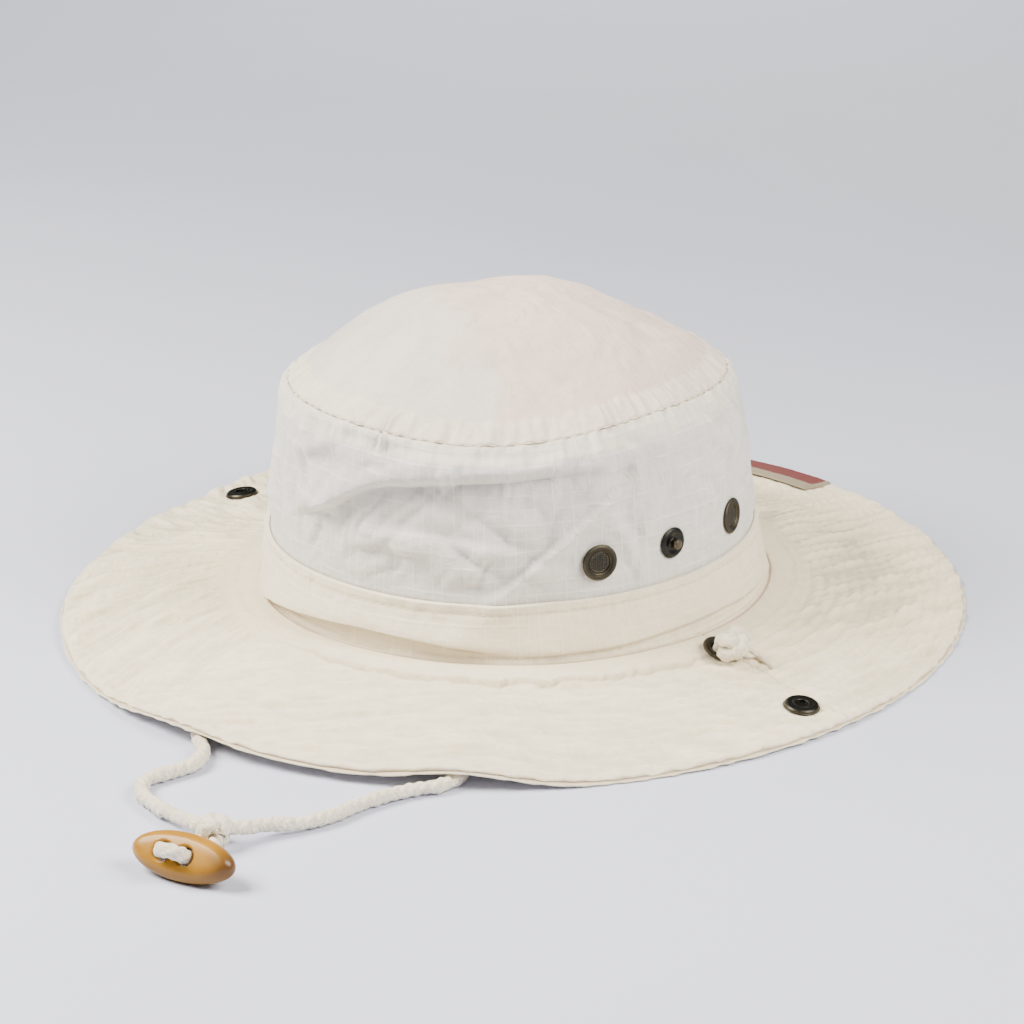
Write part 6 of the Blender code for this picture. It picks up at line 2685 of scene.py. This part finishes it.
@dataclass(frozen=True)
class Cloth:
    """A matt cotton: its two tints, its weave's pitch, how strong its relief and patches are, the masks
    that tint it, some of which hold painted shade and painted highlight, and how much painted shade darkens
    its low places and painted highlight lightens its high ones."""

    name: str
    tint: Triple
    second: Triple
    pitch: float = 0.0005
    relief: float = 0.10
    crinkle: float = 0.0
    crinkle_size: float = 0.0045
    patch: float = 0.04
    seam: Triple | None = None
    warm: Triple | None = None
    line: Triple | None = None
    high: float = 0.0
    layout: Layout = Layout.SPACE
    ripstop: float = 0.0
    sheen: float = 0.25
    cloud_scale: float = 22.0
    depth: float = 0.12
    grid: tuple[float, float] = (0.0038, 0.0052)

    def build(self, groups: Groups) -> Material:
        """Builds the material.

        Args:
            groups: the shared node groups.

        Returns:
            The material.
        """
        material, graph, shader, where = start_material(self.name)
        flat = where.outputs[self.layout.value]
        cloth = graph.group(groups.weave, Place=flat, Pitch=self.pitch)
        clouds = graph.group(groups.mottle, Place=where.outputs["Object"], Scale=self.cloud_scale)
        colour = graph.blend(clouds.outputs["Cloud"], self.tint, self.second)
        for name, tint, most in (("warm", self.warm, 0.9), ("seam", self.seam, 0.9)):
            if tint:
                colour = graph.blend(graph.sum("MULTIPLY", graph.mask(name), most), colour, tint)
        level = graph.sum("MULTIPLY_ADD", clouds.outputs["Fine"], self.patch, 1.0 - self.patch / 2.0)
        level = graph.sum(
            "MULTIPLY_ADD", graph.sum("SUBTRACT", cloth.outputs["Slub"], 1.0), self.depth, level
        )
        height = graph.sum("MULTIPLY", cloth.outputs["Height"], self.relief)
        if self.crinkle:
            crinkle = graph.group(groups.crinkle, Place=flat, Size=self.crinkle_size).outputs["Height"]
            height = graph.sum("MULTIPLY_ADD", crinkle, self.crinkle, height)
            # Painted shade: the cloth is darker in the crinkles' valleys.
            level = graph.sum("MULTIPLY_ADD", graph.sum("SUBTRACT", crinkle, 0.65), self.depth, level)
        if self.ripstop:
            across, up = self.grid
            grid = graph.group(groups.ripstop, Place=flat, Across=across, Up=up).outputs["Line"]
            height = graph.sum("MULTIPLY_ADD", grid, self.depth, height)
            level = graph.sum("MULTIPLY_ADD", grid, self.ripstop, level)
        if self.high:
            # Painted shade and highlight: the high mask darkens the relief's valleys and lightens its ridges.
            level = graph.sum(
                "MULTIPLY_ADD", graph.sum("SUBTRACT", graph.mask("high"), 0.5), self.high, level
            )
        colour = graph.shade(colour, level)
        if self.line:
            # Painted shade: the line mask blends the cloth towards brown in seams, grooves, folds and at
            # edges.
            colour = graph.blend(graph.sum("MULTIPLY", graph.mask("line"), 0.8), colour, self.line)
        bump = graph.node("ShaderNodeBump", Height=height, Strength=1.0, Distance=0.001)
        graph.fill(shader, Base_Color=colour, Normal=bump.outputs["Normal"], Roughness=0.92)
        graph.fill(shader, Sheen_Weight=self.sheen, Sheen_Roughness=0.6, Specular_IOR_Level=0.25)
        return material


@dataclass(frozen=True)
class Metal:
    """An aged metal: a dark surface that is bright where wear shows and where highlights are painted."""

    name: str
    dark: Triple
    bright: Triple
    rough: float = 0.34
    metallic: float = 0.9

    def build(self, groups: Groups) -> Material:
        """Builds the material.

        Args:
            groups: the shared node groups.

        Returns:
            The material.
        """
        material, graph, shader, where = start_material(self.name)
        clouds = graph.group(groups.mottle, Place=where.outputs["Object"], Scale=300.0)
        worn = graph.mask("worn")
        share = graph.sum("MULTIPLY", worn, graph.sum("MULTIPLY_ADD", clouds.outputs["Cloud"], 0.6, 0.4))
        colour = graph.blend(share, self.dark, self.bright)
        rough = graph.sum("MULTIPLY_ADD", clouds.outputs["Fine"], 0.12, self.rough)
        graph.fill(shader, Base_Color=colour, Roughness=rough, Metallic=self.metallic)
        return material


@dataclass(frozen=True)
class Wood:
    """Varnished honey wood with darker grain along its length, ruddy at one end, and with painted shade that
    makes it darker low down.
    """

    light: Triple = (0.40, 0.190, 0.014)
    dark: Triple = (0.19, 0.086, 0.009)
    ruddy: Triple = (0.10, 0.043, 0.012)
    grain_turn: float = -17.0
    grain_scale: Triple = (40.0, 260.0, 260.0)
    rough: float = 0.36

    def build(self, groups: Groups) -> Material:
        """Builds the material.

        Args:
            groups: the shared node groups.

        Returns:
            The material.
        """
        material, graph, shader, where = start_material("toggle_varnish")
        turn = (0.0, 0.0, math.radians(self.grain_turn))
        turned = graph.stretch(where.outputs["Object"], self.grain_scale, turn)
        grain = graph.noise(turned, 1.0, 3.0)
        clouds = graph.group(groups.mottle, Place=where.outputs["Object"], Scale=60.0)
        stain = graph.sum(
            "MULTIPLY_ADD", clouds.outputs["Cloud"], 0.15, graph.remap(grain, 0.35, 0.75, 0.0, 0.40)
        )
        colour = graph.blend(stain, self.light, self.dark)
        parts = graph.node("ShaderNodeSeparateXYZ", Vector=where.outputs["Object"])
        colour = graph.blend(graph.remap(parts.outputs[0], 0.098, 0.110), colour, self.ruddy)
        # Painted shade: the wood is blended towards its dark tint low down, near the table.
        low = graph.remap(parts.outputs[2], 0.0085, 0.0030, 0.0, 0.75)
        graph.fill(shader, Base_Color=graph.blend(low, colour, self.dark), Roughness=self.rough)
        graph.fill(shader, Specular_IOR_Level=0.2, Coat_Weight=0.2, Coat_Roughness=0.16)
        return material


@dataclass(frozen=True)
class Backdrop:
    """Smooth pale paper under the hat, with painted light that makes it paler far behind it and painted shade
    that makes it darker to the right and at its middle.
    """

    near: Triple = (0.575, 0.612, 0.795)
    far: Triple = (0.800, 0.850, 1.000)
    patch: float = 0.02

    def build(self, groups: Groups) -> Material:
        """Builds the material.

        Args:
            groups: the shared node groups.

        Returns:
            The material.
        """
        material, graph, shader, where = start_material("studio_paper")
        turned = graph.stretch(where.outputs["Object"], (1.0, 1.0, 1.0), (0.0, 0.0, math.radians(-45.0)))
        parts = graph.node("ShaderNodeSeparateXYZ", Vector=turned)
        reach = graph.sum("MULTIPLY_ADD", parts.outputs[0], 0.5, parts.outputs[1])
        # Painted light: the paper is paler far behind the hat.
        colour = graph.blend(graph.remap(reach, 0.45, 1.05), self.near, self.far)
        clouds = graph.group(groups.mottle, Place=where.outputs["Object"], Scale=6.0)
        level = graph.sum("MULTIPLY_ADD", clouds.outputs["Cloud"], self.patch, 1.02)
        # Painted shade: the paper is darker to the right and near the hat's middle.
        level = graph.sum("MULTIPLY_ADD", parts.outputs[0], -0.19, level)
        level = graph.sum("SUBTRACT", level, graph.remap(parts.outputs[1], -0.28, 0.10, 0.0, 0.10))
        graph.fill(shader, Base_Color=graph.shade(colour, level), Roughness=0.92)
        return material


def make_finishes() -> dict[str, Material]:
    """Builds every finish.

    Returns:
        The materials by short name.
    """
    groups = Groups(plain_weave_group(), mottle_group(), crinkle_group(), ripstop_group())
    # The brown below is painted shade for the line masks, with some dirt along the band's foot.
    painted_shade_brown = (0.30, 0.19, 0.11)
    finishes = {
        "tip": Cloth(
            "tip_cotton_cloth", (0.715, 0.660, 0.600), (0.700, 0.655, 0.605), crinkle=0.60,
            seam=(0.800, 0.715, 0.610), warm=(0.768, 0.588, 0.532), line=painted_shade_brown, high=0.10,
        ),
        "wall": Cloth(
            "wall_ripstop_cloth", (0.680, 0.660, 0.640), (0.660, 0.640, 0.630), crinkle=0.50,
            seam=(0.790, 0.725, 0.655), line=painted_shade_brown, high=0.10, layout=Layout.CLOTH, ripstop=0.14,
        ),
        "band": Cloth(
            "band_cotton_cloth", (0.860, 0.770, 0.595), (0.840, 0.755, 0.590), crinkle=0.45,
            line=painted_shade_brown, layout=Layout.CLOTH, ripstop=0.07,
        ),
        "brim": Cloth(
            "brim_cotton_cloth", (0.855, 0.758, 0.572), (0.832, 0.743, 0.568), crinkle=0.65,
            crinkle_size=0.0038, line=painted_shade_brown, high=0.22,
        ),
        "label": Cloth(
            "label_weave_cloth", (0.145, 0.031, 0.033), (0.130, 0.028, 0.030), seam=(0.300, 0.265, 0.200),
            layout=Layout.CLOTH, sheen=0.05,
        ),
        "thread": Cloth("cotton_thread", (0.850, 0.760, 0.610), (0.780, 0.690, 0.540)),
        "cord": Cloth(
            "cotton_cord", (0.870, 0.795, 0.660), (0.820, 0.740, 0.600), crinkle=0.90,
            crinkle_size=0.0013, patch=0.16,
        ),
        "brass": Metal("aged_brass", screen_colour(58, 55, 49), screen_colour(142, 130, 102), rough=0.50),
        "snap": Metal("dark_enamel", screen_colour(44, 44, 42), screen_colour(150, 134, 104), rough=0.34),
        "wire": Metal("screen_wire", screen_colour(92, 89, 82), screen_colour(150, 146, 130), rough=0.45),
        "wood": Wood(),
        "floor": Backdrop(),
    }
    return {name: finish.build(groups) for name, finish in finishes.items()}


# The studio


@dataclass(frozen=True)
class Lamp:
    """A square soft light that faces the hat: the direction that it shines from, round from -Y towards
    +X and up in degrees, how far away it is, its side and its power."""

    name: str
    azimuth: float
    elevation: float
    distance: float
    size: float
    power: float

    @property
    def away(self) -> Vector:
        """The direction from the hat to the light."""
        angle, rise = math.radians(self.azimuth), math.radians(self.elevation)
        return Vector((math.sin(angle) * math.cos(rise), -math.cos(angle) * math.cos(rise), math.sin(rise)))


@dataclass(frozen=True)
class Studio:
    """The camera, the floor and the soft light."""

    right: Triple = (0.70711, 0.70711, 0.0)
    back: Triple = (0.66014, -0.66014, 0.35837)
    aim_shift: float = -0.0015
    aim_height: float = 0.0352
    distance: float = 1.35
    lens: float = 125.54
    sensor: float = 36.0
    floor_half: float = 4.0
    lamps: tuple[Lamp, ...] = (
        Lamp("left_light", -35.0, 47.0, 1.20, 0.6, 43.0),
        Lamp("right_light", 103.0, 43.0, 1.20, 0.6, 28.0),
    )
    warmth: Triple = (1.0, 0.943, 0.802)
    far_place: Triple = (-0.90, 1.25, 1.25)
    far_size: float = 0.9
    far_power: float = 4.5
    far_spread: float = 64.0
    far_tint: Triple = (0.84, 0.92, 1.0)
    sky_tint: Triple = (0.95, 0.97, 1.0)
    sky_strength: float = 0.12

    def build(self, finish: Material) -> None:
        """Makes the floor and the lights.

        Args:
            finish: the floor's finish.
        """
        self.build_floor(finish)
        self.build_lights()

    def build_camera(self) -> None:
        """Places the camera where the photo was taken from, at the angle of its tilt and turn."""
        aim = Vector(self.right) * self.aim_shift + Vector((0.0, 0.0, self.aim_height))
        data = bpy.data.cameras.new("photo_camera")
        data.lens = self.lens
        data.sensor_width = self.sensor
        data.clip_start = 0.05
        data.clip_end = 20.0
        camera = bpy.data.objects.new("photo_camera", data)
        camera.location = aim + Vector(self.back) * self.distance
        camera.rotation_euler = Vector(self.back).to_track_quat("Z", "Y").to_euler()
        bpy.context.scene.collection.objects.link(camera)
        bpy.context.scene.camera = camera

    def build_floor(self, finish: Material) -> None:
        """Makes a wide plain floor.

        Args:
            finish: its finish.
        """
        half = self.floor_half
        build = MeshBuilder("studio_floor")
        corners = np.array([(-half, -half, 0.0), (half, -half, 0.0), (half, half, 0.0), (-half, half, 0.0)])
        index = build.add_points(corners)
        build.add_faces(index[None, :])
        floor = build.build(finish)

    def add_light(
        self, name: str, place: Vector, size: float, power: float, tint: Triple
    ) -> Piece:
        """Adds a square soft light that shines straight down.

        Args:
            name: the light's name.
            place: where it hangs.
            size: its side.
            power: its power.
            tint: its colour.

        Returns:
            The light.
        """
        data = bpy.data.lights.new(name, "AREA")
        data.shape = "SQUARE"
        data.size = size
        data.energy = power
        data.color = tint
        made = bpy.data.objects.new(name, data)
        made.location = place
        bpy.context.scene.collection.objects.link(made)
        return made

    def build_lights(self) -> None:
        """Adds a cool light whose narrow cone falls on the far part of the floor and misses the hat, two
        warm lights that face the hat, the left one stronger, and a dim even sky."""
        far = self.add_light(
            "far_light", Vector(self.far_place), self.far_size, self.far_power, self.far_tint
        )
        far.data.spread = math.radians(self.far_spread)
        for lamp in self.lamps:
            made = self.add_light(lamp.name, lamp.away * lamp.distance, lamp.size, lamp.power, self.warmth)
            made.rotation_euler = lamp.away.to_track_quat("Z", "Y").to_euler()
        world = bpy.data.worlds.new("studio_sky")
        world.use_nodes = True
        sky = world.node_tree.nodes["Background"]
        sky.inputs["Color"].default_value = (*self.sky_tint, 1.0)
        sky.inputs["Strength"].default_value = self.sky_strength
        bpy.context.scene.world = world


def main() -> None:
    """Builds the hat over its solids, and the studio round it."""
    logging.basicConfig(level=logging.INFO, format="%(message)s")
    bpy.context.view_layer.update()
    studio = Studio()
    studio.build_camera()
    form = HatForm()
    plan = FittingPlan()
    looks = make_finishes()
    toggle = Toggle()
    cord = ChinCord(form, plan, toggle)
    rope, path = cord.build_cord(looks["cord"])
    knots = cord.build_brim_knots(looks["cord"])
    tied = cord.build_toggle_knot(looks["cord"])
    loop = cord.build_loop(looks["cord"])
    bead = toggle.build(looks["wood"])
    seats = plan.eyelets(form)
    crown = Crown(form, plan)
    crown.build_wall(looks["wall"])
    crown.build_tip(looks["tip"])
    crown.build_seam_thread(looks["thread"])
    band = HatBand(form)
    band.build(looks["band"])
    band.build_thread(looks["thread"])
    brim = Brim(form, plan)
    brim.build_half("brim_front_cloth", -math.pi, looks["brim"])
    brim.build_half("brim_back_cloth", 0.0, looks["brim"])
    brim.build_thread(looks["thread"])
    Label(brim).build(looks["label"])
    fittings = Fittings(form, plan)
    fittings.build_vents(looks["brass"], looks["wire"])
    fittings.build_snaps(looks["snap"])
    fittings.build_eyelets(looks["brass"])
    studio.build(looks["floor"])


if __name__ == "__main__":
    main()
